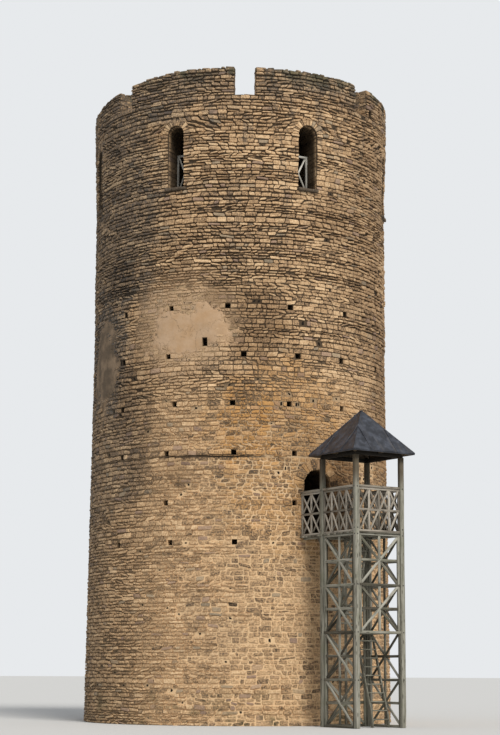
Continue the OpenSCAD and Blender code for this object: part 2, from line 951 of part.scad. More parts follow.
ground_floor();
base_wall_cardinal();
base_wall_diagonal();
entrance_wall_cardinal();
entrance_wall_diagonal();
door_head();
upper_wall_cardinal();
upper_wall_diagonal();
middle_wall_cardinal();
middle_wall_diagonal();
gallery_piers();
gallery_arches();
parapet();
merlons();
floor_joists();
entrance_floor();
middle_floor();
gallery_floor();
terrace_floor();
gallery_thresholds();
gallery_barriers();
corner_posts();
left_bracing();
right_bracing();
front_bracing();
back_bracing();
bridge_beams();
deck_beams();
knee_braces();
deck_boards();
front_railing();
left_railing();
right_railing();
left_bridge_railing();
right_bridge_railing();
head_plates();
rafters();
roof_boarding();
roof_sheets();
stair_stringers();
stair_treads();
stair_landing();
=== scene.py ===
"""Looks of a round stone keep and the timber stair tower before its doorway.

Everything is in metres in the CAD model's frame: the keep's axis stands at the origin, +Z is up
and the stair tower is on the -Y side. Bearings are degrees from -Y towards +X.
"""

import json
import logging
import math
from dataclasses import dataclass, field, replace
from enum import Enum
from typing import Callable, Iterator, Sequence

import bpy
import numpy as np
from mathutils import Matrix, Vector

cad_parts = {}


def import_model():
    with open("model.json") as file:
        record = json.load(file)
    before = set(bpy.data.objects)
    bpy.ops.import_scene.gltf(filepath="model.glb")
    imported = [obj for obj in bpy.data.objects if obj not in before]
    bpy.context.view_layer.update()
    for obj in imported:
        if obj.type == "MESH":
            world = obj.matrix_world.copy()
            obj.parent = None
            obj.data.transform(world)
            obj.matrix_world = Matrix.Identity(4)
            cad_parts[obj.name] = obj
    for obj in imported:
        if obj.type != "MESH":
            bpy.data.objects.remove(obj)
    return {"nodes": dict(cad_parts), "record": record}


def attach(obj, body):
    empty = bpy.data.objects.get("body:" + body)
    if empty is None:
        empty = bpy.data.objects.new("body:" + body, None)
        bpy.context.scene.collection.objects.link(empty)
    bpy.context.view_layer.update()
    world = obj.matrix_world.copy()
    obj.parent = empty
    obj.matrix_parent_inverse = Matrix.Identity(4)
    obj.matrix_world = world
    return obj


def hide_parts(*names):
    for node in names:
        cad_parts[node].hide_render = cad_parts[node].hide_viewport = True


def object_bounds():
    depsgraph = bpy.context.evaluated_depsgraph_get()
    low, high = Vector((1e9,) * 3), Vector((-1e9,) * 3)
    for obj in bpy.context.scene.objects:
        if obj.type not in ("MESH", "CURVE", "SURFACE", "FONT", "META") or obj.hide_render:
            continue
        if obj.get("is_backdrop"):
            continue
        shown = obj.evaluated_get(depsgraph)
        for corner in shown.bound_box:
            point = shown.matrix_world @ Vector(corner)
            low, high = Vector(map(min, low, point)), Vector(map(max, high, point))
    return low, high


log = logging.getLogger("keep")

Array = np.ndarray
Colour = tuple[float, float, float]
Place = Callable[[Array, Array, Array], Array]
Bed = Callable[[float], float]
Masonry = tuple[float, ...]
Socket = bpy.types.NodeSocket
Material = bpy.types.Material


# Meshes


class Shell:
    """Vertices, faces and attributes of one piece, gathered part by part."""

    smooth = True

    def __init__(self) -> None:
        """Starts an empty shell."""
        self.count = 0
        self.points: list[Array] = []
        self.quads: list[Array] = []
        self.tris: list[Array] = []
        self.values: dict[str, list[Array]] = {}

    def add(self, points: Array, quads: Array, tris: Sequence[Sequence[int]] = (),
            **values: Array) -> None:
        """Adds one part.

        Args:
            points: Vertex positions, n by 3.
            quads: Vertex numbers of the four-sided faces, k by 4.
            tris: Vertex numbers of the triangles, k by 3.
            values: One number or vector a vertex for each named attribute.
        """
        self.quads.append(np.asarray(quads, int).reshape(-1, 4) + self.count)
        self.tris.append(np.asarray(tris, int).reshape(-1, 3) + self.count)
        self.points.append(points)
        for name, value in values.items():
            self.values.setdefault(name, []).append(np.asarray(value, float))
        self.count += len(points)

    def build(self, name: str, finish: Material, slot: str,
              replaced: Sequence[str] = ()) -> bpy.types.Object:
        """Makes the piece, which rides on the keep.

        Args:
            name: Name of the piece.
            finish: Its material.
            slot: The record's material slot for the piece; not used.
            replaced: CAD nodes that it stands for.

        Returns:
            The new object.
        """
        quads, tris = np.concatenate(self.quads), np.concatenate(self.tris)
        mesh = bpy.data.meshes.new(name)
        mesh.vertices.add(self.count)
        mesh.vertices.foreach_set("co", np.concatenate(self.points).astype(np.float32).ravel())
        mesh.loops.add(quads.size + tris.size)
        corners = np.concatenate([quads.ravel(), tris.ravel()]).astype(np.int32)
        mesh.loops.foreach_set("vertex_index", corners)
        starts = np.concatenate([np.arange(len(quads)) * 4,
                                 quads.size + np.arange(len(tris)) * 3]).astype(np.int32)
        mesh.polygons.add(len(starts))
        mesh.polygons.foreach_set("loop_start", starts)
        mesh.polygons.foreach_set("use_smooth", np.full(len(starts), self.smooth))
        mesh.update(calc_edges=True)
        for key, parts in self.values.items():
            value = np.concatenate(parts).astype(np.float32)
            kind = "FLOAT_VECTOR" if value.ndim == 2 else "FLOAT"
            layer = mesh.attributes.new(key, kind, "POINT")
            layer.data.foreach_set("vector" if value.ndim == 2 else "value", value.ravel())
        mesh.validate()
        mesh.materials.append(finish)
        piece = bpy.data.objects.new(name, mesh)
        bpy.context.scene.collection.objects.link(piece)
        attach(piece, "root")
        if replaced:
            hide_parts(*replaced)
        log.info("%s: %d triangles", name, 2 * len(quads) + len(tris))
        return piece


def ring_faces(rings: int, sides: int) -> Array:
    """Quads that join rings of vertices one after another.

    Args:
        rings: Number of rings.
        sides: Vertices in a ring.

    Returns:
        Vertex numbers, (rings - 1) * sides by 4.
    """
    k = np.arange(sides)
    one = np.stack([k, (k + 1) % sides, (k + 1) % sides + sides, k + sides], 1)
    return np.concatenate([one + r * sides for r in range(rings - 1)])


def grid_faces(rows: int, cols: int) -> Array:
    """Quads between the vertices of a grid that is numbered row by row."""
    at = np.arange(rows * cols).reshape(rows, cols)
    return np.stack([at[:-1, :-1], at[:-1, 1:], at[1:, 1:], at[1:, :-1]], 2).reshape(-1, 4)


def level(height: float) -> Bed:
    """A bed that runs level."""
    return lambda along: height


def steps(low: float, high: float, size: Callable[[], float], rest: float = 0.0,
          stops: Sequence[float] = (), near: float = 0.0,
          least: float = 0.02) -> Iterator[tuple[float, float]]:
    """Feet and heads of uneven courses or boards that fill a face.

    Args:
        low: Foot of the first one.
        high: Head of the last one.
        size: Gives the next one's size.
        rest: The last one also takes what is left if that is less than this.
        stops: Places at which one has to end.
        near: How far short of a stop one may end and still be carried to it.
        least: What may be left free at the end.

    Yields:
        The foot and the head of each.
    """
    while low < high - least:
        head = min(low + size(), high)
        head = next((stop for stop in stops if low < stop < head + near), head)
        head = high if high - head < rest else head
        yield low, head
        low = head


# Stones


@dataclass(frozen=True)
class Bedding:
    """How the stones of one face are dressed and bedded."""

    corner: tuple[float, float] = (0.005, 0.034)
    slope: tuple[float, float] = (0.006, 0.015)
    ragged: float = 0.004
    crown: float = 0.2
    tilt: float = 0.09


class StoneShell(Shell):
    """A piece made of single split stones, each standing a little proud of its bed."""

    smooth = False

    def __init__(self, seed: int, bedding: Bedding = Bedding()) -> None:
        """Starts an empty piece.

        Args:
            seed: Seed of the stones' small differences.
            bedding: How the stones are dressed.
        """
        super().__init__()
        self.rng = np.random.default_rng(seed)
        self.bedding = bedding

    def lay(self, stones: "Layout", place: Place) -> None:
        """Builds a layout's stones where a function puts them.

        Args:
            stones: The outlines on the face's own plane.
            place: Turns distances along, up and out of the face into positions.
        """
        if not stones.corners:
            return
        rng, bed = self.rng, self.bedding
        outline = np.array(stones.corners)
        n = len(outline)
        before, after = np.roll(outline, 1, 1), np.roll(outline, -1, 1)

        def cut(other: Array) -> Array:
            """Points a short way from each corner along one of its edges.

            Args:
                other: Corner at the far end of each edge.

            Returns:
                The points.
            """
            edge = other - outline
            length = np.linalg.norm(edge, axis=2) + 1e-6
            share = np.minimum(rng.uniform(*bed.corner, (n, 4)) / length, 0.36)
            return outline + edge * share[..., None]

        rim = np.stack([cut(before), cut(after)], 2).reshape(n, 8, 2)
        rim += rng.normal(0, bed.ragged, rim.shape)
        heart = rim.mean(1, keepdims=True)
        inward = heart - rim
        reach = np.linalg.norm(inward, axis=2, keepdims=True) + 1e-6
        slope = np.minimum(rng.uniform(*bed.slope, (n, 8, 1)), 0.34 * reach)
        front = rim + inward / reach * slope
        proud = np.array(stones.proud)[:, None]
        tilt = rng.normal(0, bed.tilt, (n, 1, 2)) * (0.6, 1.0)
        lean = np.clip(((front - heart) * tilt).sum(2), -0.5 * proud, 0.5 * proud)
        flat = np.concatenate([rim, front, heart + rng.normal(0, 0.008, heart.shape)], 1)
        out = np.concatenate([
            np.full((n, 8), -0.012),
            proud * rng.uniform(0.8, 1.12, (n, 8)) + lean,
            proud * (1 + bed.crown * rng.uniform(-0.4, 1.2, (n, 1)))], 1)
        points = place(flat[..., 0].ravel(), flat[..., 1].ravel(), out.ravel())
        first = (np.arange(n) * 17)[:, None, None]
        k = np.arange(8)
        fan = np.stack([k + 8, (k + 1) % 8 + 8, np.full(8, 16)], 1)
        # Edge weight of each vertex: 1 at the foot of a stone's sides, where the finish paints dirt and
        # shade in the joints.
        edge = np.concatenate([np.full(8, 1.0), np.full(8, 0.22), [0.0]])
        self.add(points, ring_faces(2, 8)[None] + first, fan[None] + first,
                 tone=np.repeat(stones.tone, 17), tint=np.repeat(stones.tint, 17),
                 edge=np.tile(edge, n))


@dataclass
class Layout:
    """Outlines of stones on a face, each with its height, tone and tint.

    Its perpend is the width of a joint between neighbours as a share of the bed joint's, and
    voids the share of places where a small stone has fallen out, each painted near black as
    the shade of its hole.
    """

    rng: np.random.Generator
    perpend: float = 0.55
    voids: float = 0.0
    corners: list[Array] = field(default_factory=list)
    proud: list[float] = field(default_factory=list)
    tone: list[float] = field(default_factory=list)
    tint: list[float] = field(default_factory=list)

    def stone(self, corners: Sequence[Sequence[float]], proud: float, joint: float,
              shade: float = 0.0) -> None:
        """Adds one stone.

        Args:
            corners: Lower left, lower right, upper right and upper left corner.
            proud: Height above the bed.
            joint: Width of the bed joints; those between neighbours are narrower.
            shade: How much paler than usual it is.
        """
        quad = np.array(corners, float)
        along, up = quad[[1, 2]].mean(0) - quad[[0, 3]].mean(0), quad[2:].mean(0) - quad[:2].mean(0)
        width, height = np.hypot(*along), np.hypot(*up)
        if min(width - joint * self.perpend, height - joint) < 0.014:
            return
        heart = quad.mean(0)
        ux, uy = along / width, up / height
        local = quad - heart
        quad = heart + np.outer(local @ ux, ux) * (1 - joint * self.perpend / width) \
            + np.outer(local @ uy, uy) * (1 - joint / height)
        rare = self.rng.random()
        tone = self.rng.beta(3.4, 3.4) + shade
        proud *= self.rng.uniform(0.72, 1.28)
        if rare < 0.03:
            tone = self.rng.uniform(0.08, 0.2)
        elif rare > 0.98:
            tone = self.rng.uniform(0.85, 1.0)
        # A lost stone: a flat stone of tone 0, which the finish paints near black as the shade of its hole.
        if self.rng.random() < self.voids and width < 0.3:
            quad = heart + (quad - heart) * (min(1.0, 0.085 / width), 0.8)
            tone, proud = 0.0, 0.0015
        self.corners.append(quad)
        self.proud.append(proud)
        self.tone.append(float(np.clip(tone, 0, 1.1)))
        self.tint.append(self.rng.random())

    def single(self, corners: Sequence[Sequence[float]], proud: float, joint: float, tone: float,
               tint: float) -> None:
        """Adds one stone of a given tone and tint.

        Args:
            corners: Lower left, lower right, upper right and upper left corner.
            proud: Height above the bed.
            joint: Width of the bed joints.
            tone: How pale it is, or 0 for the place of a lost stone, painted near black as the shade of its
                hole.
            tint: Its tint.
        """
        voids, self.voids = self.voids, 0.0
        count = len(self.tone)
        self.stone(corners, proud, joint)
        self.voids = voids
        if len(self.tone) > count:
            self.tone[-1], self.tint[-1] = tone, tint

    def sink(self, hidden: Callable[[Array, Array], Array]) -> None:
        """Lowers the stones that something covers, by the hidden share of their height.

        Args:
            hidden: Gives the covered share, from 0 to 1, along and up the face.
        """
        if self.corners:
            middle = np.array(self.corners).mean(1)
            left = 1 - hidden(middle[:, 0], middle[:, 1])
            self.proud = [float(p * s) for p, s in zip(self.proud, left)]

    def row(self, span: Sequence[float], low: Bed, high: Bed, width: float, proud: float,
            joint: float, shade: float = 0.0, gape: Bed = level(0.0)) -> None:
        """Fills one stretch of a course.

        Args:
            span: Its left and right end at the foot, then at the head.
            low: Height of the lower bed along the face.
            high: Height of the upper bed along the face.
            width: Usual width of a stone.
            proud: Height of the stones above the wall.
            joint: Width of the joints.
            shade: How much paler than usual the stones are.
            gape: How much wider the joint above is along the face.
        """
        left0, right0, left1, right1 = span
        length = (right0 + right1 - left0 - left1) / 2
        if length < 0.045:
            return
        count = max(1, round(length / (width * self.rng.uniform(0.85, 1.15))))
        parts = self.rng.uniform(0.45, 1.55, count).cumsum()
        share = np.concatenate([[0], parts / parts[-1]])
        sway = self.rng.normal(0, 0.007, count + 1)
        sway[0] = sway[-1] = 0
        foot = left0 + (right0 - left0) * share - sway
        head = left1 + (right1 - left1) * share + sway
        for k in range(count):
            a, b, c, d = foot[k], foot[k + 1], head[k + 1], head[k]
            wide = gape((c + d) / 2)
            self.stone([(a, low(a)), (b, low(b)), (c, high(c) - wide), (d, high(d) - wide)],
                       proud, joint, shade)

    def course(self, ends: Sequence[float], low: float, high: float, *masonry: float) -> None:
        """Fills a level course between two upright ends.

        Args:
            ends: Its left and right end.
            low: Its foot.
            high: Its head.
            masonry: Width, height, joint and shade of the stones, as for a row.
        """
        self.row((*ends, *ends), level(low), level(high), *masonry)


# The keep's outer face


@dataclass(frozen=True)
class Drum:
    """The round body of the keep."""

    rim: float = 4.46
    flare: float = 0.08
    flare_z: float = 15.2
    flare_h: float = 2.4
    height: float = 18.6
    batter_top: float = 11.0
    batter: float = 0.01
    parapet_r: float = 3.96
    terrace_z: float = 17.35
    crenel_z: float = 17.79
    crenel_w: float = 0.6
    first_crenel: float = -31.5
    bays: int = 7
    sag: float = 0.15
    worn: float = 0.33

    @property
    def bay(self) -> float:
        """Bearing from one crenel to the next."""
        return 360 / self.bays

    @property
    def girth(self) -> float:
        """Length of the unrolled face."""
        return 2 * math.pi * self.rim

    def face_r(self, z: Array | float) -> Array | float:
        """Radius of the outer face at a height."""
        return self.rim - self.flare + self.batter * np.maximum(0.0, self.batter_top - z) \
            + self.flare * np.clip((z - self.flare_z) / self.flare_h, 0.0, 1.0)

    def unroll(self, bearing: float) -> float:
        """Distance along the unrolled face at a bearing."""
        return math.radians(bearing) * self.rim

    def outside(self, along: Array, up: Array, out: Array) -> Array:
        """Positions on the outer face.

        Args:
            along: Distance along the unrolled face.
            up: Height.
            out: Distance out of the face.

        Returns:
            Positions, n by 3.
        """
        turn = along / self.rim
        r = self.face_r(up) + out
        return np.stack([r * np.sin(turn), -r * np.cos(turn), up], 1)

    def inside(self, radius: float) -> Place:
        """A function that puts stones on the inner face of a round wall.

        Args:
            radius: Radius of the face.

        Returns:
            The function.
        """
        def place(along: Array, up: Array, out: Array) -> Array:
            """Positions on the inner face, unrolled to the left."""
            turn, r = -along / radius, radius - out
            return np.stack([r * np.sin(turn), -r * np.cos(turn), up], 1)
        return place

    def merlon_top(self, bearing: Array | float) -> Array | float:
        """Height of the merlons' tops at a bearing, the two weathered ones' lower.

        Args:
            bearing: Bearing in degrees, one or several.

        Returns:
            The heights.
        """
        half, run = self.bay / 2, self.sag / math.sin(math.radians(self.bay / 2))
        away = (self.first_crenel - half - np.asarray(bearing) + 180) % 360 - 180
        near = np.where((away > 0) & (away < half), np.sin(np.radians(away)) * run, 0.0)
        past = away - self.bay
        far = np.where(np.abs(past) < half, self.worn + np.sin(np.radians(past)) * run, 0.0)
        return self.height - near - far


def turned(points: Array, bearing: float) -> Array:
    """Positions built on the -Y side, carried round to a bearing.

    Args:
        points: Positions, n by 3.
        bearing: Degrees from -Y towards +X.

    Returns:
        The positions there.
    """
    t = math.radians(bearing)
    c, s = math.cos(t), math.sin(t)
    x, y, z = points.T
    return np.stack([x * c - y * s, x * s + y * c, z], 1)


@dataclass(frozen=True)
class Gap:
    """A place on the outer face that the courses leave free."""

    bearing: float
    half: float
    low: float
    high: float
    off: float = 0.0
    spring: float = 0.0
    ring: float = 0.0

    def ends(self, drum: Drum, z: float) -> tuple[float, float] | None:
        """Its left and right end along the unrolled face at a height, if it reaches it.

        Args:
            drum: The keep's body.
            z: The height.

        Returns:
            The two distances, or None.
        """
        if not self.low <= z <= self.high:
            return None
        half = self.half
        if self.spring and z > self.spring:
            reach = self.half + self.ring * 0.72
            rise = z - self.spring
            if rise >= reach:
                return None
            half = math.sqrt(reach * reach - rise * rise)
        r = float(drum.face_r(z))
        middle = math.radians(self.bearing)
        return (drum.rim * (middle + math.asin((self.off - half) / r)),
                drum.rim * (middle + math.asin((self.off + half) / r)))


@dataclass(frozen=True)
class Archway:
    """A round-headed way through the wall, with a ring of voussoirs."""

    bearing: float
    half: float
    sill: float
    spring: float
    ring: float
    inner_r: float
    off: float = 0.0
    foot: float = 0.0
    stones: int = 11

    def gap(self) -> Gap:
        """The place that it takes from the courses."""
        return Gap(self.bearing, self.half, self.sill - self.foot,
                   self.spring + self.half + self.ring, self.off, self.spring, self.ring)


@dataclass
class Openings:
    """Every way, slit and hole in the outer face."""

    drum: Drum
    gallery_sill: float = 15.15
    door_sill: float = 5.15
    first_row: float = 4.9
    first_lift: float = 1.11
    lift: float = 1.385
    hole: float = 0.15
    door_shift: tuple[float, ...] = (-1.2, 1.2, 0, 0, 0, 2, -0.9)
    lost: tuple[tuple[float, float], ...] = ((-2, 10.76), (3, 12.25), (-75, 12.37), (-16, 7.02),
                                             (-11, 7.09), (-6.5, 5.42), (-17.5, 8.93), (-11.7, 8.82))
    seen: tuple[tuple[float, ...], ...] = (
        (-102, -83, -58.5, -34.5),
        (-104.5, -60.5, -12.5),
        (-82, -60.5, -35, -12.5),
        (-82.5, -57.5, -35.5, -14.5, 8.5),
        (-82.5, -60.5, -31.5, -11, 8.5),
        (-81.5, -59.5, -37.5, -14, 10.5))

    def row_z(self, row: int) -> float:
        """Foot of a row of putlog holes."""
        return self.first_row + (self.first_lift + (row - 1) * self.lift if row else 0.0)

    def holes(self) -> list[tuple[float, float]]:
        """Bearing and foot of each putlog hole, the unseen ones a sixteenth of a turn apart.

        Returns:
            Bearings and feet.
        """
        rest = tuple(32.5 + 22.5 * k for k in range(10))
        return [(turn, self.row_z(row)) for row, turns in enumerate(self.seen)
                for turn in turns + rest]

    def archways(self) -> list[Archway]:
        """The raised doorway first, then the seven gallery doors.

        Returns:
            The eight archways.
        """
        drum, sill = self.drum, self.gallery_sill
        door = Archway(0, 0.44, self.door_sill, 6.61, 0.31, 2.45, off=-0.25, stones=13)
        return [door] + [
            Archway(drum.first_crenel + (k + 0.5) * drum.bay + shift, 0.25 if k == 6 else 0.295,
                    sill, sill + 1.585, 0.25, 3.35, foot=0.08, stones=14)
            for k, shift in enumerate(self.door_shift)]

    def gaps(self) -> list[Gap]:
        """Everything that the courses leave free.

        Returns:
            The gaps.
        """
        drum = self.drum
        found = [way.gap() for way in self.archways()]
        found += [Gap(drum.first_crenel + k * drum.bay, drum.crenel_w / 2, drum.crenel_z, 19)
                  for k in range(drum.bays)]
        found += [Gap(turn, self.hole / 2, z, z + self.hole) for turn, z in self.holes()]
        found += [Gap(-46, self.hole / 2, 10.48, 10.73), Gap(32, 0.05, 12.21, 12.99),
                  Gap(26.7, 0.105, drum.crenel_z, drum.crenel_z + 0.25)]
        found += [Gap(way.bearing, 0.325, way.sill - way.foot, way.sill)
                  for way in self.archways()[1:]]
        found += [Gap(0, 0.037, 5.058, 5.112, off=side * 0.6625) for side in (-1, 1)]
        return found

    def odd(self) -> list["OddStone"]:
        """Stones that stand out by their colour, and the places of lost ones.

        Returns:
            The stones.
        """
        return [OddStone(turn, z, 0.08, 0.0, 0.5) for turn, z in self.lost] + [
            OddStone(-44.6, 7.81, 0.34, 0.14, 0.3), OddStone(-39.8, 7.81, 0.26, 1.0, 0.5),
            OddStone(-43.0, 9.36, 0.28, 0.98, 0.5), OddStone(-38.0, 17.93, 0.36, 0.42, 0.0),
            OddStone(-66.0, 17.58, 0.46, 0.40, 1.0), OddStone(-38.5, 18.32, 0.34, 0.8, 0.7),
            OddStone(-57.0, 17.27, 0.42, 0.85, 0.5), OddStone(-19.5, 8.2, 0.3, 0.30, 0.0),
            OddStone(-27.0, 5.55, 0.28, 0.25, 0.0), OddStone(-31.0, 5.55, 0.2, 0.3, 0.3)]

    def levels(self) -> list[float]:
        """Heights at which a bed has to run: feet and heads of the holes, sills and top.

        Returns:
            The heights.
        """
        drum = self.drum
        rows = [self.row_z(k) for k in range(len(self.seen))]
        beds = [0.0, self.door_sill, self.gallery_sill - 0.08, drum.crenel_z, drum.height,
                12.21, 12.99, 10.73, *self.open_beds()]
        return sorted(beds + rows + [z + self.hole for z in rows[1:]])

    def open_beds(self) -> list[float]:
        """Heights of the beds that gape all the way round: under the coping and two courses."""
        top = self.drum.height
        return [top - 0.21, top - self.drum.worn - 0.21, self.drum.crenel_z - 0.13, 7.36]


@dataclass(frozen=True)
class OddStone:
    """A stone of its own colour at a place, or, if its tone is 0, a lost one's place painted near black as
    the shade of its hole.
    """

    bearing: float
    z: float
    width: float
    tone: float
    tint: float


@dataclass(frozen=True)
class Zone:
    """How the masonry is built in one part of the wall."""

    course: float
    width: float
    joint: float
    proud: float
    shade: float = 0.0
    gape: float = 0.0
    run: tuple[float, float] = (1.0, 3.0)
    perpend: float = 0.5


@dataclass
class OuterFace:
    """The coursed rubble of the outer face."""

    drum: Drum
    openings: Openings
    plaster: "PlasterPatch"
    finish: Material
    seed: int = 4
    band: float = 0.265

    def zone(self, bearing: float, z: float) -> Zone:
        """The masonry at a place: thin dark beds high on the left, big stones high in the
        middle, long stones in wide pale joints low down.

        Args:
            bearing: Bearing of the place.
            z: Its height.

        Returns:
            The zone's sizes.
        """
        turn = (bearing + 33 + 180) % 360 - 180
        mood = math.sin(math.radians(turn * 2) + z * 0.55) \
            + 0.6 * math.sin(math.radians(turn * 5) - z)
        lift = 0.0
        if 15.5 < z < 16.3:
            lift = 0.28 if turn < 22 else 0.12
        elif 13.2 < z < 13.9 and turn > -10:
            lift = 0.16
        bright = 0.14 if turn > 16 and z < 9.8 else 0.0
        if 14.9 < z < 16.9 and -3 < turn < 26 or (abs(turn) > 90 and 15 < z < 17 and mood > 0.8):
            return Zone(0.140, 0.24, 0.012, 0.024, 0.20, 0.010, (0.8, 2.4))
        if z > 12.2 and (turn < -18 or z > 16.9 and turn < 20):
            return Zone(0.096, 0.25, 0.024, 0.048, lift, 0.026, (2.5, 8.0), 0.32)
        if z > 12.2 and turn < 30:
            return Zone(0.100, 0.25, 0.012, 0.026, 0.05 + lift, 0.019, (2.0, 6.0), 0.55)
        if z > 11.0 and turn >= 30:
            return Zone(0.098, 0.25, 0.020, 0.044, 0.04 + lift, 0.028, (2.0, 6.0), 0.42)
        if turn < -24:
            return Zone(0.104 + 0.006 * mood, 0.25, 0.018, 0.036, 0.03, 0.020, (2.0, 6.0), 0.45)
        if z > 7.4:
            return Zone(0.104 + 0.006 * mood, 0.24, 0.015, 0.024, bright, 0.014, (1.2, 4.0), 0.7)
        return Zone(0.114 + 0.008 * mood, 0.24 + 0.02 * mood, 0.024, 0.018,
                    -0.05, 0.008, (0.8, 2.6), 0.9)

    def wave(self, rng: np.random.Generator, z: float, size: float, most: int = 15) -> Bed:
        """A bed that rises and falls a little round the keep.

        Args:
            rng: Random numbers.
            z: Its usual height.
            size: How far it strays.
            most: Number of its shortest waves round the keep.

        Returns:
            Its height along the unrolled face.
        """
        counts, phases = rng.integers(2, most, 5), rng.uniform(0, 6.28, 5)
        def bed(along: float) -> float:
            """Height of the bed."""
            turn = along / self.drum.rim
            return z + size * float(np.sin(counts * turn + phases).sum()) / 2.2
        return bed

    def beds(self, rng: np.random.Generator) -> list[tuple[float, Bed]]:
        """Every bed between two bands, from the ground to the merlons' tops.

        Args:
            rng: Source of the beds' waves.

        Returns:
            Usual height and run of each bed.
        """
        fixed = self.openings.levels()
        found = [(fixed[0], self.wave(rng, fixed[0], 0.0))]
        for low, high in zip(fixed, fixed[1:]):
            count = max(1, round((high - low) / self.band))
            parts = rng.uniform(0.75, 1.25, count).cumsum()
            for k, part in enumerate(parts):
                z = low + (high - low) * part / parts[-1]
                size = 0.003 if k == count - 1 else 0.007
                found.append((z, self.wave(rng, z, size)))
        return found

    def spans(self, gaps: Sequence[Gap], start: float, end: float, low: float,
              high: float) -> list[tuple[float, float, float, float]]:
        """Free stretches of a course.

        Args:
            gaps: What the courses leave free.
            start: Left end of the stretch along the unrolled face.
            end: Its right end.
            low: Foot of the course.
            high: Head of the course.

        Returns:
            Left and right end at the foot and at the head of each free stretch.
        """
        cuts = []
        for gap in gaps:
            middle = gap.ends(self.drum, (low + high) / 2)
            feet = [gap.ends(self.drum, z) or middle for z in (low + 0.004, high - 0.004)]
            known = [f for f in feet + [middle] if f]
            if not known or gap.spring and not middle:
                continue
            middle = middle or known[0]
            slack = 0.025 if gap.spring else 0.0
            foot, head = ([float(np.clip(v, m - slack, m + slack)) if slack else v
                           for v, m in zip(f or middle, middle)] for f in feet)
            for shift in (-self.drum.girth, 0, self.drum.girth):
                if min(foot[0], head[0]) + shift < end and max(foot[1], head[1]) + shift > start:
                    cuts.append([v + shift for v in (*foot, *head)])
        cuts.sort()
        free, l0, l1 = [], start, start
        for f0, f1, h0, h1 in cuts:
            if min(f0 - l0, h0 - l1) > 0.02:
                free.append((l0, f0, l1, h0))
            l0, l1 = max(l0, f1), max(l1, h1)
        if min(end - l0, end - l1) > 0.02:
            free.append((l0, end, l1, end))
        return free

    def courses(self, rng: np.random.Generator) -> list[tuple[float, Layout]]:
        """Lays the whole face.

        Args:
            rng: Random numbers.

        Returns:
            The height and the stones of each band.
        """
        drum, gaps, odd = self.drum, self.openings.gaps(), self.openings.odd()
        beds, bands = self.beds(rng), []
        for (z0, low), (z1, high) in zip(beds, beds[1:]):
            gape = self.wave(rng, 0.35, 1.0, 90)
            shares = [rng.uniform(0.75, 1.25, n).cumsum() for n in (1, 2, 3, 4)]
            near = [g for g in gaps if g.low < z1 and g.high > z0]
            stones = Layout(rng, voids=0.012 if z0 > 11 else 0.02)
            at = first = rng.uniform(-0.5, 0.5) * drum.girth
            while at < first + drum.girth - 0.01:
                bearing = math.degrees(at / drum.rim)
                zone = self.zone(bearing, (z0 + z1) / 2)
                end = min(at + rng.uniform(*zone.run), first + drum.girth)
                if first + drum.girth - end < 0.4:
                    end = first + drum.girth
                count = min(4, max(1, round((z1 - z0) / (zone.course * rng.uniform(0.8, 1.25)))))
                if z1 - z0 < 0.22:
                    count = 1 if z1 - z0 < 0.18 else 2
                parts = shares[count - 1]
                share = np.concatenate([[0], parts / parts[-1]])
                wide = 0.022 if z1 in self.openings.open_beds() and (
                    z1 > 7.5 or -66 < bearing < -26) else 0.0
                stones.perpend = zone.perpend
                def gaping(s: float, k: int) -> float:
                    """How much wider a joint is than usual, k courses below the band's head."""
                    return max(zone.gape * min(max(gape(s + 3.7 * k), 0.0), 1.3), 0.0 if k else wide)
                for k in range(count):
                    f0, f1 = share[k], share[k + 1]
                    foot, top = z0 + (z1 - z0) * f0, z0 + (z1 - z0) * f1
                    pair = [lambda s, f=f: self.height(low, high, s, f) for f in (f0, f1)]
                    here = [(o, Gap(o.bearing, o.width / 2, foot, top)) for o in odd
                            if foot <= o.z < top and at < self.past(o.bearing, first) < end]
                    wider = 1.3 if count == 1 and z1 - z0 > 0.2 else 1.0
                    for span in self.spans(near + [cut for _, cut in here], at, end, foot, top):
                        stones.row(span, *pair, zone.width * wider, zone.proud, zone.joint,
                                   zone.shade, lambda s, n=count - 1 - k: gaping(s, n))
                    for o, cut in here:
                        a, b = cut.ends(drum, (foot + top) / 2)
                        stones.single([(a, pair[0](a)), (b, pair[0](b)), (b, pair[1](b)), (a, pair[1](a))],
                                      0.002 if o.tone == 0 else max(zone.proud, 0.02), zone.joint,
                                      o.tone, o.tint)
                at = end
            stones.sink(self.plaster.film)
            bands.append(((z0 + z1) / 2, stones))
        return bands

    def past(self, bearing: float, first: float) -> float:
        """Distance along the unrolled face at a bearing, within one turn after a start."""
        return first + (self.drum.unroll(bearing) - first) % self.drum.girth

    def height(self, low: Bed, high: Bed, along: float, share: float) -> float:
        """Height between two beds, kept below the merlons' tops."""
        z = low(along) * (1 - share) + high(along) * share
        return min(z, float(self.drum.merlon_top(math.degrees(along / self.drum.rim))))

    def build(self) -> None:
        """Builds the face in storeys, so that no piece gets too heavy."""
        rng = np.random.default_rng(self.seed)
        storeys = {"foot": 3.4, "entrance": 6.9, "middle": 10.3, "upper": 13.6,
                   "gallery": 16.2, "top": 19.0}
        shells = {name: StoneShell(self.seed + k) for k, name in enumerate(storeys)}
        for z, stones in self.courses(rng):
            name = next(n for n, top in storeys.items() if z < top)
            shells[name].lay(stones, self.drum.outside)
        for name, shell in shells.items():
            shell.build(f"wall_stones_{name}", self.finish, "masonry")


def ripple(x: Array | float, y: Array | float, seed: int, size: float = 1.0) -> Array | float:
    """Smooth uneven field between about -1 and 1.

    Args:
        x: First coordinate.
        y: Second coordinate.
        seed: Chooses the field.
        size: Length of its largest waves.

    Returns:
        The field's value at each place.
    """
    rng = np.random.default_rng(seed)
    total, weight = 0.0, 0.0
    for octave in range(5):
        for _ in range(3):
            turn, phase = rng.uniform(0, 6.28, 2)
            wave = 2 ** octave * 6.28 / size * rng.uniform(0.7, 1.3)
            share = 0.62 ** octave
            total = total + share * np.sin((x * math.cos(turn) + y * math.sin(turn)) * wave + phase)
            weight += share
    return total / weight * 2.1


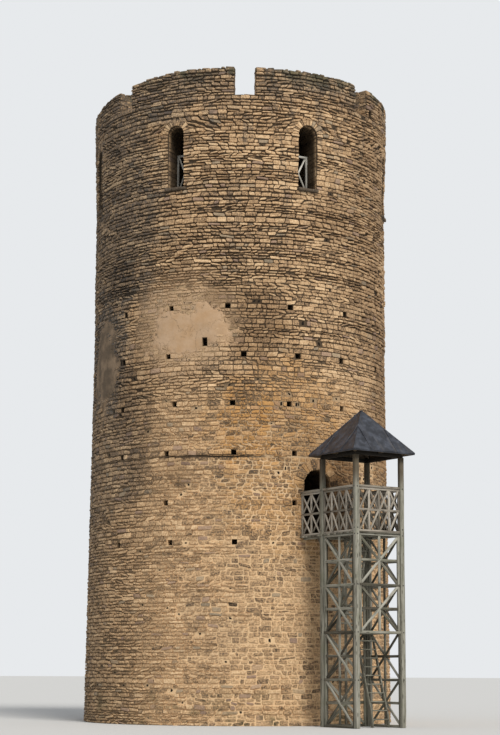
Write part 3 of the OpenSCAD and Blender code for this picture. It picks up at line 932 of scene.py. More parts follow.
@dataclass
class PlasterPatch:
    """What is left of the lime plaster, high on the left of the photographed side."""

    drum: Drum
    openings: Openings
    finish: Material
    seed: int = 21
    left: float = -114.0
    right: float = -33.0
    foot: float = 8.6
    head: float = 12.6
    cell: float = 0.026
    thick: float = 0.026

    def cover(self, along: Array | float, z: Array | float) -> Array | float:
        """Share of the smooth plaster that is left at a place, from 0 to 1."""
        return self.patches(along, z, ((-51.5, 11.0, 1.42, 0.66), (-98, 10.3, 0.95, 1.45)))

    def film(self, along: Array | float, z: Array | float) -> Array | float:
        """Share of the stones' height that plaster or the thin lime round it hides."""
        thin = self.patches(along, z, ((-57.5, 11.1, 1.9, 1.35),))
        return 0.8 * np.maximum(self.cover(along, z), 0.7 * thin)

    def patches(self, along: Array | float, z: Array | float,
                places: tuple[tuple[float, ...], ...]) -> Array | float:
        """Share of some ragged patches at a place of the face.

        Args:
            along: Distance along the unrolled face.
            z: Height.
            places: Bearing, height, half width and half height of each patch.

        Returns:
            The share, from 0 to 1.
        """
        rough = 0.36 * ripple(along, z, self.seed, 1.5) + 0.14 * ripple(along, z, self.seed + 3, 0.3)
        field = -1.0
        turn = self.drum.girth
        for bearing, height, wide, tall in places:
            u = ((along - self.drum.unroll(bearing) + turn / 2) % turn - turn / 2) / wide
            v = (z - height - 0.12 * u) / tall
            field = np.maximum(field, 1.05 - np.sqrt(np.abs(u) ** 2.6 + np.abs(v) ** 2.6) + rough)
        return np.clip(field / 0.45, 0, 1)

    def build(self) -> None:
        """Builds the patch as a ragged sheet that sinks away between the stones."""
        drum, shell = self.drum, Shell()
        u = np.arange(drum.unroll(self.left), drum.unroll(self.right), self.cell)
        v = np.arange(self.foot, self.head, self.cell)
        along, up = (a.ravel() for a in np.meshgrid(u, v))
        keep, half = np.ones(len(along), bool), self.cell / 2
        for gap in self.openings.gaps():
            ends = gap.ends(drum, (gap.low + gap.high) / 2)
            if not ends or gap.high < self.foot or gap.low > self.head:
                continue
            near, inner = ((along > ends[0] - pad) & (along < ends[1] + pad)
                           & (up > gap.low - pad) & (up < gap.high + pad) for pad in (half, -half))
            keep &= ~inner
            side = near & ~inner

            def snapped(at: Array, low: float, high: float) -> Array:
                """Places beside the hole, moved to its edge if that is within half a cell."""
                edge = np.where(np.abs(at - low) < np.abs(at - high), low, high)
                return np.where(side & (np.abs(at - edge) <= half), edge, at)

            along, up = snapped(along, *ends), snapped(up, gap.low, gap.high)
        left = self.cover(along, up)
        lumps = 0.003 * ripple(along, up, self.seed + 1, 0.5) \
            + 0.0012 * ripple(along, up, self.seed + 2, 0.12)
        out = -0.02 + (self.thick + 0.014) * np.minimum(1, left * 1.5) ** 0.8 + lumps
        quads = grid_faces(len(v), len(u))
        whole = keep[quads].all(1) & (left[quads].max(1) > 0.0)
        shell.add(drum.outside(along, up, out), quads[whole], cover=left)
        shell.build("plaster_patch", self.finish, "masonry")


@dataclass
class Archways:
    """Dressed stone of the doorway and the gallery doors: voussoirs, jambs and soffits."""

    drum: Drum
    openings: Openings
    finish: Material
    jamb_heights: tuple[float, float] = (0.09, 0.2)
    jamb_stones: Masonry = (0.33, 0.006, 0.010, 0.05)
    soffit_stones: Masonry = (0.34, 0.008, 0.008, 0.05)
    voussoirs: Masonry = (0.026, 0.013)
    seed: int = 33

    def ring(self, shell: StoneShell, way: Archway) -> None:
        """Lays the voussoirs on the outer face.

        Args:
            shell: Piece that takes the stones.
            way: The archway.
        """
        rng, stones = shell.rng, Layout(shell.rng)
        parts = rng.uniform(0.55, 1.45, way.stones).cumsum()
        turns = np.concatenate([[0], parts / parts[-1]]) * math.pi
        inner = way.half + 0.002
        for a, b in zip(turns, turns[1:]):
            outer = way.half + way.ring * rng.uniform(0.84, 1.04)
            corners = [(r * math.cos(t), r * math.sin(t))
                       for r, t in ((inner, a), (outer, a), (outer, b), (inner, b))]
            stones.stone(corners, *self.voussoirs, rng.uniform(-0.25, 0.45))
        middle = math.radians(way.bearing)

        def place(across: Array, rise: Array, out: Array) -> Array:
            """Positions on the outer face round the arch's centre.

            Args:
                across: Distances to the right of the arch's centre.
                rise: Heights above its springing.
                out: Distances out of the face.

            Returns:
                The positions.
            """
            up = rise + way.spring
            turn = middle + np.arcsin((across + way.off) / self.drum.face_r(up))
            return self.drum.outside(turn * self.drum.rim, up, out)
        shell.lay(stones, place)

    def jamb(self, shell: StoneShell, way: Archway, side: int, outer: float) -> None:
        """Lays one jamb inside the wall.

        Args:
            shell: Piece that takes the stones.
            way: The archway.
            side: 1 for the jamb on the right of a person who faces it, -1 for the left one.
            outer: Radius at which the jamb begins.
        """
        stones = Layout(shell.rng)
        ends = sorted((side * (way.inner_r + 0.01), side * (outer - 0.004)))
        for z, top in steps(way.sill + 0.002, way.spring,
                            lambda: shell.rng.uniform(*self.jamb_heights), 0.07):
            stones.course(ends, z, top, *self.jamb_stones)

        def place(along: Array, up: Array, out: Array) -> Array:
            """Positions on the jamb's plane."""
            x = way.off + side * (way.half - out)
            return turned(np.stack([x, -side * along, up], 1), way.bearing)
        shell.lay(stones, place)

    def soffit(self, shell: StoneShell, way: Archway, outer: float) -> None:
        """Lays the underside of the arch, one row of stones behind each voussoir.

        Args:
            shell: Piece that takes the stones.
            way: The archway.
            outer: Radius at which the soffit begins.
        """
        stones, radius = Layout(shell.rng), way.half
        turns = np.linspace(0, math.pi, way.stones + 1) * radius
        for a, b in zip(turns, turns[1:]):
            stones.course((way.inner_r + 0.01, outer - 0.006), a, b, *self.soffit_stones)

        def place(along: Array, up: Array, out: Array) -> Array:
            """Positions on the half barrel under the arch."""
            turn, r = up / radius, radius - out
            return turned(np.stack([way.off + r * np.cos(turn), -along,
                                    way.spring + r * np.sin(turn)], 1), way.bearing)
        shell.lay(stones, place)

    def build(self) -> None:
        """Builds the doorway's stones and the gallery doors' stones."""
        ways = self.openings.archways()
        for name, group in (("doorway_stones", ways[:1]), ("gallery_door_stones", ways[1:])):
            shell = StoneShell(self.seed, Bedding((0.004, 0.016), (0.005, 0.012), 0.002, 0.12))
            for way in group:
                outer = float(self.drum.face_r(way.sill)) - (0.03 if way.off else 0.01)
                self.ring(shell, way)
                for side in (-1, 1):
                    self.jamb(shell, way, side, outer)
                self.soffit(shell, way, outer)
            shell.build(name, self.finish, "masonry")


@dataclass
class Battlements:
    """The stones of the battlements that the outer courses don't have."""

    drum: Drum
    finish: Material
    lining_heights: tuple[float, float] = (0.1, 0.17)
    lining: Masonry = (0.27, 0.02, 0.014)
    cheek_heights: tuple[float, float] = (0.09, 0.16)
    cheek_stones: Masonry = (0.25, 0.014, 0.012)
    seed: int = 41

    def inner_face(self, shell: StoneShell) -> None:
        """Lays the inner face of the parapet and merlons.

        Args:
            shell: Piece that takes the stones.
        """
        drum, r = self.drum, self.drum.parapet_r
        for z, top in steps(drum.terrace_z, drum.height,
                            lambda: shell.rng.uniform(*self.lining_heights), 0.06,
                            (drum.crenel_z,), 0.03):
            stones = Layout(shell.rng)

            def upper(s: float, v: float = top) -> float:
                """Head of the course, below the merlon's top."""
                return min(v, float(drum.merlon_top(math.degrees(-s / r))))

            half = math.degrees(math.asin(drum.crenel_w / 2 / r)) if z >= drum.crenel_z - 0.01 else 0
            for k in range(drum.bays):
                middle = drum.first_crenel + k * drum.bay
                span = [-math.radians(t) * r for t in (middle + drum.bay - half, middle + half)]
                stones.row((*span, *span), level(z), upper, *self.lining)
            shell.lay(stones, drum.inside(r))

    def cheeks(self, shell: StoneShell) -> None:
        """Lays both sides and the sill of each crenel.

        Args:
            shell: Piece that takes the stones.
        """
        drum = self.drum
        for k in range(drum.bays):
            bearing = drum.first_crenel + k * drum.bay
            for side in (-1, 1):
                stones = Layout(shell.rng)
                edge = bearing + side * math.degrees(math.asin(drum.crenel_w / 2 / drum.rim))
                head = float(drum.merlon_top(edge + side * 0.1))
                ends = sorted((side * (drum.parapet_r - 0.005), side * (drum.rim - 0.012)))
                for z, top in steps(drum.crenel_z + 0.012, head,
                                    lambda: shell.rng.uniform(*self.cheek_heights), 0.06):
                    stones.course(ends, z, top, *self.cheek_stones)

                def place(along: Array, up: Array, out: Array, side: int = side,
                          bearing: float = bearing) -> Array:
                    """Positions on the crenel's side."""
                    x = side * (drum.crenel_w / 2 - out)
                    return turned(np.stack([x, -side * along, up], 1), bearing)
                shell.lay(stones, place)
            self.flags(shell, bearing, -drum.crenel_w / 2, drum.crenel_w / 2,
                       lambda turn: np.full_like(turn, drum.crenel_z), 0.016)

    def flags(self, shell: StoneShell, bearing: float, left: float, right: float,
              height: Callable[[Array], Array], proud: float) -> None:
        """Lays the top of a stretch of wall.

        Args:
            shell: Piece that takes the stones.
            bearing: Bearing of the stretch's middle.
            left: Its left end, measured along the rim.
            right: Its right end.
            height: Height of the wall's top at each bearing.
            proud: Height of the stones above it.
        """
        drum = self.drum
        across = drum.parapet_r + (drum.rim - drum.parapet_r) * shell.rng.uniform(0.38, 0.62)
        stones = Layout(shell.rng)
        for r0, r1 in ((drum.parapet_r - 0.015, across), (across, drum.rim + 0.018)):
            stones.course((left, right), -r1, -r0, 0.26, proud, 0.012, -0.15)

        def place(along: Array, up: Array, out: Array) -> Array:
            """Positions on the top, which spreads along the rim."""
            turn = math.radians(bearing) + along / drum.rim
            return np.stack([-up * np.sin(turn), up * np.cos(turn),
                             height(np.degrees(turn)) + out], 1)
        shell.lay(stones, place)

    def build(self) -> None:
        """Builds the battlements' stones."""
        drum, shell = self.drum, StoneShell(self.seed)
        self.inner_face(shell)
        self.cheeks(shell)
        tops = StoneShell(self.seed + 1, Bedding((0.01, 0.05), (0.012, 0.03), 0.006, 0.35))
        half = drum.rim * (math.radians(drum.bay / 2) - math.asin(drum.crenel_w / 2 / drum.rim))
        for k in range(drum.bays):
            self.flags(tops, drum.first_crenel + (k + 0.5) * drum.bay, -half, half,
                       drum.merlon_top, 0.034)
        shell.build("battlement_stones", self.finish, "masonry")
        tops.build("merlon_coping", self.finish, "masonry")


@dataclass
class Terrace:
    """The paving behind the battlements."""

    drum: Drum
    finish: Material
    hatch: float = 0.38
    hatch_y: float = 1.5
    depths: tuple[float, float] = (0.26, 0.42)
    stones: Masonry = (0.5, 0.013, 0.014)
    seed: int = 51

    def build(self) -> None:
        """Lays flagstones over the terrace floor, round the hatch."""
        shell = StoneShell(self.seed, Bedding((0.01, 0.03), (0.01, 0.02), 0.004, 0.1))
        stones, r = Layout(shell.rng), self.drum.parapet_r - 0.03
        for y, top in steps(0.05 - self.drum.parapet_r, r, lambda: shell.rng.uniform(*self.depths),
                            0.0, (self.hatch_y - self.hatch, self.hatch_y + self.hatch), 0.1, 0.05):
            ends = [math.sqrt(max(0.0, r * r - v * v)) for v in (y, top)]
            cut = self.hatch if abs((y + top) / 2 - self.hatch_y) < self.hatch else 0.0
            for side in (-1, 1):
                span = (cut, ends[0], cut, ends[1]) if side > 0 else (-ends[0], -cut, -ends[1], -cut)
                stones.row(span, level(y), level(top), *self.stones)
        z = self.drum.terrace_z
        shell.lay(stones, lambda a, b, h: np.stack([a, b, z + h], 1))
        shell.build("terrace_flags", self.finish, "paving")


# Timber


class TimberShell(Shell):
    """A piece made of single timbers, with chamfered edges and their own grain."""

    def __init__(self, seed: int) -> None:
        """Starts an empty piece, with the seed of its timbers' small differences."""
        super().__init__()
        self.rng = np.random.default_rng(seed)

    def member(self, rings: Sequence[Array], origin: Array, axes: Sequence[Array],
               tone: float | None) -> None:
        """Adds one timber, with the run of its grain.

        Args:
            rings: Rings of its vertices from one end or face to the other.
            origin: A point on it.
            axes: Unit vectors along, across and up the timber.
            tone: How pale it is from 0 to 1, or None for any.
        """
        points, sides = np.concatenate(rings), len(rings[0])
        last, inner = len(points) - sides, range(1, sides - 1)
        caps = [(0, k + 1, k) for k in inner] + [(last, last + k, last + k + 1) for k in inner]
        grain = (points - origin) @ np.stack(axes).T + self.rng.uniform(-40, 40, 3)
        tone = self.rng.uniform(0.15, 0.85) if tone is None else tone + self.rng.uniform(-0.1, 0.1)
        self.add(points, ring_faces(len(rings), sides), caps, grain=grain,
                 tone=np.full(len(points), tone))

    def beam(self, a: Sequence[float], b: Sequence[float], width: float, depth: float,
             up: Sequence[float] = (0, 0, 1), chamfer: float = 0.005,
             tone: float | None = None, stray: float = 0.0012) -> None:
        """Adds a straight timber.

        Args:
            a: Middle of its one end.
            b: Middle of its other end.
            width: Its size across, square to up.
            depth: Its size along up.
            up: Direction of its upper face.
            chamfer: Width of the worn edges.
            tone: How pale it is, or None for any.
            stray: How far its faces stray from straight.
        """
        a, b = np.array(a, float), np.array(b, float)
        length = float(np.linalg.norm(b - a))
        along = (b - a) / length
        across = np.cross(up, along)
        across /= np.linalg.norm(across)
        over = np.cross(along, across)
        w, d, c = width / 2, depth / 2, min(chamfer, width / 5, depth / 5)
        section = np.array([(w, -d + c), (w, d - c), (w - c, d), (-w + c, d),
                            (-w, d - c), (-w, -d + c), (-w + c, -d), (w - c, -d)])
        count = max(1, round(length / 0.45))
        at = np.concatenate([[0, c], np.linspace(0, length, count + 1)[1:-1], [length - c, length]])
        rings = []
        for k, t in enumerate(at):
            end = k in (0, len(at) - 1)
            ring = section * ((w - c) / w, (d - c) / d) if end else section
            ring = ring + self.rng.normal(0, stray, (1, 2)) + self.rng.normal(0, stray / 3, (8, 2))
            rings.append(a + along * t + ring[:, :1] * across + ring[:, 1:] * over)
        self.member(rings, a, (along, across, over), tone)

    def board(self, outline: Sequence[Sequence[float]], thick: float, origin: Sequence[float],
              u: Sequence[float], v: Sequence[float], chamfer: float = 0.003,
              tone: float | None = None, along: int = 0) -> None:
        """Adds a timber sawn to a convex outline.

        Args:
            outline: Corners in its own plane, turning left.
            thick: Its thickness, half on each side of the plane.
            origin: Where the plane's zero is.
            u: First direction of the plane.
            v: Second direction of the plane.
            chamfer: Width of the worn edges.
            tone: How pale it is, or None for any.
            along: 0 if the grain runs along u, 1 if along v.
        """
        flat = np.array(outline, float)
        u, v = np.array(u, float), np.array(v, float)
        out = np.cross(u, v)
        before = flat - np.roll(flat, 1, 0)
        after = np.roll(flat, -1, 0) - flat
        before /= np.linalg.norm(before, axis=1, keepdims=True)
        after /= np.linalg.norm(after, axis=1, keepdims=True)
        inner = after - before
        size = np.maximum(np.cross(before, after), 0.2)[:, None]
        inner = flat + inner / size * min(chamfer, thick / 4)
        rings = [(inner, -thick / 2), (flat, -thick / 2 + chamfer), (flat, thick / 2 - chamfer),
                 (inner, thick / 2)]
        base = np.array(origin, float)
        self.member([base + ring[:, :1] * u + ring[:, 1:] * v + h * out for ring, h in rings],
                    base, (v, u, out) if along else (u, v, out), tone)


@dataclass
class BoardFloor:
    """One floor of boards on its joists, with a hatch."""

    finish: Material
    node: str
    top: float
    radius: float
    thick: float = 0.05
    hatch: float = 0.38
    hatch_y: float = 1.5
    board: float = 0.21
    seed: int = 61

    def build(self) -> None:
        """Lays boards parallel to X over the whole floor."""
        shell, r = TimberShell(self.seed), self.radius - 0.004
        for y, end in steps(-r, r, lambda: self.board * shell.rng.uniform(0.85, 1.15), 0.0,
                            (self.hatch_y - self.hatch, self.hatch_y + self.hatch), 0.06, 0.03):
            x0, x1 = (math.sqrt(max(1e-4, r * r - v * v)) for v in (y, end))
            cut = self.hatch if abs((y + end) / 2 - self.hatch_y) < self.hatch else 0.0
            joint = shell.rng.uniform(-0.5, 0.5) * min(x0, x1)
            parts = [(-1, -cut), (cut, 1)] if cut else [(-1, joint), (joint + 0.002, 1)]
            for a, b in parts:
                left = (-x0, -x1) if a == -1 else (a, a)
                right = (x0, x1) if b == 1 else (b, b)
                shell.board([(left[0], y + 0.002), (right[0], y + 0.002), (right[1], end - 0.002),
                             (left[1], end - 0.002)], self.thick, (0, 0, self.top - self.thick / 2),
                            (1, 0, 0), (0, 1, 0))
        shell.build(f"{self.node}_boards", self.finish, "old_timber", [self.node])


@dataclass
class GalleryTimber:
    """Thresholds and barriers in the gallery doors."""

    openings: Openings
    old: Material
    # Finish of the barriers, paler than the other timber as painted light.
    grey: Material
    half: float = 0.325
    out: float = 0.11
    barrier: float = 1.14
    barrier_in: float = 0.6
    seed: int = 71

    def threshold(self, shell: TimberShell, way: Archway) -> None:
        """Adds one threshold of three planks that lie side by side across the door.

        Args:
            shell: Piece that takes the timbers.
            way: The door.
        """
        first, z = shell.count, way.sill - way.foot / 2
        start = float(self.openings.drum.face_r(z)) + self.out
        end = way.inner_r + 0.002
        width = (2 * self.half - 0.008) / 3
        for k in range(3):
            x = -self.half + 0.004 + width * (k + 0.5)
            reach = start - shell.rng.uniform(0, 0.02)
            shell.beam((x, -reach, z), (x, -end, z), width - 0.006,
                       way.foot - shell.rng.uniform(0, 0.006), chamfer=0.007, tone=0.45)
        self.turn_from(shell, first, way.bearing)

    def frame(self, shell: TimberShell, way: Archway) -> None:
        """Adds one barrier: two posts, two rails and a cross.

        Args:
            shell: Piece that takes the timbers.
            way: The door.
        """
        first, z, w = shell.count, way.sill, way.half
        y = -float(self.openings.drum.face_r(z)) + self.barrier_in - 0.03
        for x in (-w + 0.03, w - 0.03):
            shell.beam((x, y, z), (x, y, z + self.barrier), 0.058, 0.06, up=(0, 1, 0))
        for rise in (0.09, self.barrier - 0.03):
            shell.beam((-w + 0.06, y, z + rise), (w - 0.06, y, z + rise), 0.05, 0.06)
        low, high = z + 0.11, z + self.barrier - 0.055
        for side in (-1, 1):
            shell.beam((-side * (w - 0.06), y + side * 0.012, low),
                       (side * (w - 0.06), y + side * 0.012, high), 0.024, 0.048,
                       up=(side * 0.9, 0, -0.4))
        self.turn_from(shell, first, way.bearing)

    @staticmethod
    def turn_from(shell: TimberShell, first: int, bearing: float) -> None:
        """Carries what was added since a vertex count round to a bearing.

        Args:
            shell: Piece that holds the timbers.
            first: The vertex count before the first of them.
            bearing: Degrees from -Y towards +X.
        """
        count = shell.count
        for k in range(len(shell.points) - 1, -1, -1):
            if count <= first:
                break
            count -= len(shell.points[k])
            shell.points[k] = turned(shell.points[k], bearing)

    def build(self) -> None:
        """Builds both kinds for every gallery door."""
        thresholds, barriers = TimberShell(self.seed), TimberShell(self.seed + 1)
        for way in self.openings.archways()[1:]:
            self.threshold(thresholds, way)
            self.frame(barriers, way)
        thresholds.build("threshold_planks", self.old, "old_timber", ["gallery_thresholds"])
        barriers.build("barrier_timbers", self.grey, "grey_timber", ["gallery_barriers"])


class Side(Enum):
    """Sides of the stair tower, each with its direction outwards."""

    LEFT = (-1, 0)
    RIGHT = (1, 0)
    BACK = (0, 1)
    FRONT = (0, -1)

    @property
    def out(self) -> Array:
        """Direction out of the side."""
        return np.array([*self.value, 0.0])

    @property
    def along(self) -> Array:
        """Direction along the side, to the right of a person who faces it."""
        return np.cross((0, 0, 1.0), self.out)


@dataclass
class StairTower:
    """The timber tower that carries the stair and the landing before the doorway."""

    drum: Drum
    timber: Material
    silver: Material
    iron: Material
    centre: float = 6.14
    half: float = 0.76
    post: float = 0.125
    deck: float = 5.15
    deck_t: float = 0.04
    beam_h: float = 0.05
    beam_w: float = 0.07
    brace: float = 0.07
    brace_t: float = 0.06
    stud_gap: float = 0.02
    plate_z: float = 7.21
    plate_h: float = 0.11
    rail: float = 1.25
    cap_h: float = 0.06
    cap_w: float = 0.1
    lath: float = 0.058
    lath_t: float = 0.045
    lift: float = 1.25
    knee: float = 0.5
    knee_run: float = 0.3
    landing: float = 0.34
    flight_w: float = 0.58
    stringer: float = 0.04
    stringer_h: float = 0.42
    steps: int = 11
    seed: int = 81

    @property
    def inner(self) -> float:
        """Distance of the posts' inner faces from the middle."""
        return self.half - self.post / 2

    @property
    def beam_z(self) -> float:
        """Underside of the deck's beams."""
        return self.deck - self.deck_t - self.beam_h

    @property
    def front(self) -> float:
        """Y of the front posts."""
        return -self.centre - self.half

    @property
    def back(self) -> float:
        """Y of the back posts."""
        return -self.centre + self.half

    @property
    def beam_in(self) -> float:
        """Distance of the bridge beams' inner faces from the middle."""
        return self.inner - self.beam_w

    def wall_y(self, x: float, z: float) -> float:
        """Y of the keep's face at a distance from the middle."""
        return -math.sqrt(float(self.drum.face_r(z)) ** 2 - x * x)

    def posts(self) -> None:
        """Builds the four posts."""
        shell = TimberShell(self.seed)
        for x in (-self.half, self.half):
            for y in (self.front, self.back):
                shell.beam((x, y, 0), (x, y, self.plate_z), self.post, self.post, up=(0, 1, 0),
                           chamfer=0.009, tone=0.62, stray=0.0022)
        shell.build("posts", self.timber, "grey_timber", ["corner_posts"])

    def bracing(self, side: Side, first: int) -> None:
        """Builds one side's bracing: studs, rails and a cross in each storey.

        Args:
            side: The side.
            first: Lowest storey that is braced.
        """
        shell, name = TimberShell(self.seed + 3 + len(side.name)), side.name.lower()
        along, out = side.along, side.out
        middle = out * self.half - np.array([0, self.centre, 0])
        half, w = self.inner - self.stud_gap, self.brace

        def bar(u0: float, z0: float, u1: float, z1: float, width: float, layer: float,
                thick: float, tone: float | None = None) -> None:
            """One bar of the side between two points of its own plane."""
            a, b = (middle + along * u + out * layer + np.array([0, 0, z]) for u, z in ((u0, z0), (u1, z1)))
            shell.beam(a, b, width, thick, up=out, chamfer=0.005, tone=tone, stray=0.0015)

        t = self.brace_t
        for u in (-half + w / 2, half - w / 2):
            bar(u, first * self.lift, u, self.beam_z, w, 0, t)
        for k in range(first, 4):
            foot = max(k * self.lift, w / 2)
            head = self.beam_z if k == 3 else (k + 1) * self.lift
            mid = (foot + head) / 2
            bar(-self.inner, foot, self.inner, foot, w, 0.004, t - 0.004)
            bar(-half + w, mid, half - w, mid, w, 0.003, t - 0.016)
            bar(0, foot + w / 2, 0, head, w, -0.002, t - 0.02)
            # Painted light and shade: the diagonal in front is paler, as lit, and the one behind darker, as
            # shaded.
            for turn, tone in ((-1, 0.25), (1, 0.85)):
                lean = -turn if side is Side.LEFT else turn
                bar(-lean * (half - w), foot + w * 0.7, lean * (half - w), head - w * 0.5, w,
                    turn * t * 0.22, t * 0.5, tone)
        shell.build(f"{name}_brace_timbers", self.timber, "grey_timber", [f"{name}_bracing"])

    def beams(self) -> None:
        """Builds the bridge beams, the deck's beams and the knee braces."""
        z, w, h = self.beam_z + self.beam_h / 2, self.beam_w, self.beam_h
        bridge, deck, knee = (TimberShell(self.seed + k) for k in (11, 12, 13))
        run = self.inner - self.landing
        for side in (-1, 1):
            x = side * (self.inner - w / 2)
            end = self.wall_y(self.inner, self.beam_z) + 0.25
            bridge.beam((x, self.front + w / 2, z), (x, end, z), w, h)
            deck.beam((side * self.half, -self.centre - self.inner, z),
                      (side * self.half, -self.centre + self.inner, z), w, h)
            foot, low = self.back + self.brace_t / 2, self.beam_z - self.knee
            head, slant = foot + self.knee_run, math.hypot(self.knee_run, self.knee)
            knee.board([(foot, low), (head, self.beam_z),
                        (head - self.brace * slant / self.knee, self.beam_z),
                        (foot, low + self.brace * slant / self.knee_run)], w,
                       (x, 0, 0), (0, 1, 0), (0, 0, 1), 0.005, along=1)
        for reach, y in ((self.inner, self.front), (self.beam_in, self.back),
                         (self.beam_in, -self.centre - run - w / 2),
                         (self.beam_in, -self.centre + run + w / 2)):
            deck.beam((-reach, y, z), (reach, y, z), w, h)
        bridge.build("bridge_beam_timbers", self.timber, "grey_timber", ["bridge_beams"])
        deck.build("deck_beam_timbers", self.timber, "grey_timber", ["deck_beams"])
        knee.build("knee_brace_timbers", self.timber, "grey_timber", ["knee_braces"])

    def deck_planks(self) -> None:
        """Lays the deck's planks, cut round the posts, the stair's hatch and the keep."""
        shell = TimberShell(self.seed + 17)
        reach, p = self.half + self.post / 2, self.post / 2
        run = self.inner - self.landing
        hatch = (-self.centre - run, -self.centre + run)
        edges = [self.front - p, self.front + p, *hatch, self.back - p, self.back + p,
                 self.wall_y(0, self.deck) - 0.004, self.wall_y(reach, self.deck) - 0.004]
        wall = edges[-2]
        for low, high in zip(edges[:-1], edges[1:]):
            count = max(1, round((high - low) / 0.145))
            ys = np.linspace(low, high, count + 1)
            for y0, y1 in zip(ys, ys[1:]):
                mid = (y0 + y1) / 2
                out = self.inner if min(abs(mid - self.front), abs(mid - self.back)) < p else reach
                out -= shell.rng.uniform(0, 0.005)
                parts = [(-out, out)]
                if hatch[0] < mid < hatch[1]:
                    parts = [(-out, -self.beam_in), (-self.beam_in + self.flight_w + 0.004, out)]
                if mid > wall:
                    gap = [math.sqrt(max(0.0, float(self.drum.face_r(self.deck)) ** 2 - v * v))
                           + 0.004 for v in (y0, y1)]
                    for side in (-1, 1):
                        line = [(gap[0], y0), (out, y0), (out, y1), (gap[1], y1)]
                        if gap[0] > out - 0.02:
                            continue
                        line = line if side > 0 else [(-x, y) for x, y in reversed(line)]
                        shell.board(line, self.deck_t, (0, 0, self.deck - self.deck_t / 2),
                                    (1, 0, 0), (0, 1, 0))
                    continue
                for a, b in parts:
                    shell.board([(a, y0 + 0.003), (b, y0 + 0.003), (b, y1 - 0.003), (a, y1 - 0.003)],
                                self.deck_t, (0, 0, self.deck - self.deck_t / 2), (1, 0, 0), (0, 1, 0),
                                0.004)
        shell.build("deck_planks", self.timber, "grey_timber", ["deck_boards"])

    def railing(self, name: str, node: str, start: Array, end: Array, cells: int, hand: int,
                painted_light: float) -> None:
        """Builds one lattice railing.

        Args:
            name: Name of the piece.
            node: CAD node that it stands for.
            start: One end, on the deck.
            end: The other end, on the deck.
            cells: Lattice cells between them.
            hand: 1 if the laths that rise from start to end lie to its right, -1 if to its left.
            painted_light: How much paler than usual the laths are, as painted light.
        """
        shell = TimberShell(self.seed + 23 + len(name))
        length = float(np.linalg.norm(end - start))
        along = (end - start) / length
        out = np.cross(along, (0, 0, 1.0))
        w, t, foot, top = self.lath, self.lath_t, 0.0, self.rail - self.cap_h
        mid, pitch = (foot + top) / 2, (length - self.lath) / cells

        def bar(u0: float, z0: float, u1: float, z1: float, width: float, layer: float,
                thick: float, pale: float = 0.6) -> None:
            """One lath between two points of the railing's plane."""
            a, b = (start + along * u + out * layer + np.array([0, 0, z]) for u, z in ((u0, z0), (u1, z1)))
            shell.beam(a, b, width, thick, up=out, chamfer=0.004, stray=0.0009,
                       tone=shell.rng.uniform(pale - 0.3, pale + 0.3) + painted_light)

        for z in (foot + w / 2, mid, top - w / 2):
            bar(0, z, length, z, w, 0, t)
        for k in range(cells + 1):
            u = k * pitch + w / 2
            bar(u, foot + w, u, top - w, w, 0.0, t - 0.003)
        for k in range(cells):
            for z0, z1 in ((foot + w, mid - w / 2), (mid + w / 2, top - w)):
                u0, u1 = k * pitch + w, (k + 1) * pitch
                # Painted light and shade: the front diagonal is paler, as lit, the back one darker, as
                # shaded.
                bar(u0, z0, u1, z1, w * 0.95, hand * t * 0.24, t * 0.5, 0.85)
                bar(u0, z1, u1, z0, w * 0.95, -hand * t * 0.24, t * 0.5, 0.4)
        lift = np.array([0, 0, self.rail - self.cap_h / 2])
        shell.beam(start + lift, end + lift, self.cap_w, self.cap_h, chamfer=0.008, tone=0.7)
        shell.build(name, self.silver, "grey_timber", [node])

    def railings(self) -> None:
        """Builds the three railings of the landing and the two of the bridge."""
        z, i = self.deck, self.inner
        corners = {
            "front": ((-i, self.front), (i, self.front), 4),
            "left": ((-self.half, -self.centre - i), (-self.half, -self.centre + i), 4),
            "right": ((self.half, -self.centre - i), (self.half, -self.centre + i), 4)}
        end = self.wall_y(self.half - self.cap_w / 2, self.deck) - 0.002
        for side, x in (("left", -self.half), ("right", self.half)):
            corners[f"{side}_bridge"] = ((x, self.back + self.post / 2), (x, end), 2)
        # The bridge railings' laths are painted paler, as painted light where the landing shades them.
        for name, (a, b, cells) in corners.items():
            self.railing(f"{name}_railing_laths", f"{name}_railing", np.array([*a, z]),
                         np.array([*b, z]), cells, -1 if name.startswith("left") else 1,
                         0.3 if "bridge" in name else 0.0)

    def stair(self) -> None:
        """Builds the two steep flights and the landing between them."""
        stringers, treads, landing = (TimberShell(self.seed + k) for k in (31, 32, 33))
        run = 2 * (self.inner - self.landing)
        level = 2 * self.lift + self.brace / 2
        x_mid = self.beam_in - 0.002 - self.flight_w / 2
        for upper in (False, True):
            z0, z1 = (level - self.brace, self.deck - 0.002) if upper else (0.0, level - 0.002)
            turn = -1 if upper else 1
            y0 = -self.centre - turn * run / 2
            slope = (z1 - z0 - self.stringer_h / 2) / run
            line = [(0, z0 + self.stringer_h / 2), (0, z0), (self.stringer_h / 2 / slope, z0),
                    (run, z1 - self.stringer_h / 2), (run, z1)]
            for side in (-1, 1):
                x = turn * x_mid + side * (self.flight_w - self.stringer) / 2
                corners = [(turn * y, z) for y, z in line]
                corners = corners if turn > 0 else corners[::-1]
                stringers.board(corners, self.stringer, (x, y0, 0), (0, 1, 0), (0, 0, 1), 0.004,
                                tone=0.5, along=1)
            start, stop = (level, self.deck) if upper else (0.0, level)
            rise = (stop - start) / self.steps
            for n in range(1, self.steps):
                y = y0 + turn * run * n / self.steps
                z = start + n * rise - 0.016
                half = self.flight_w / 2 - self.stringer
                treads.beam((turn * x_mid - half, y, z), (turn * x_mid + half, y, z), 0.15, 0.032,
                            tone=0.55)
        half = self.half - self.brace_t / 2
        y0 = -self.centre + self.inner - self.landing
        for k in range(3):
            y = y0 + self.landing * (k + 0.5) / 3
            landing.beam((-half, y, level - self.brace / 2), (half, y, level - self.brace / 2),
                         self.landing / 3 - 0.006, self.brace)
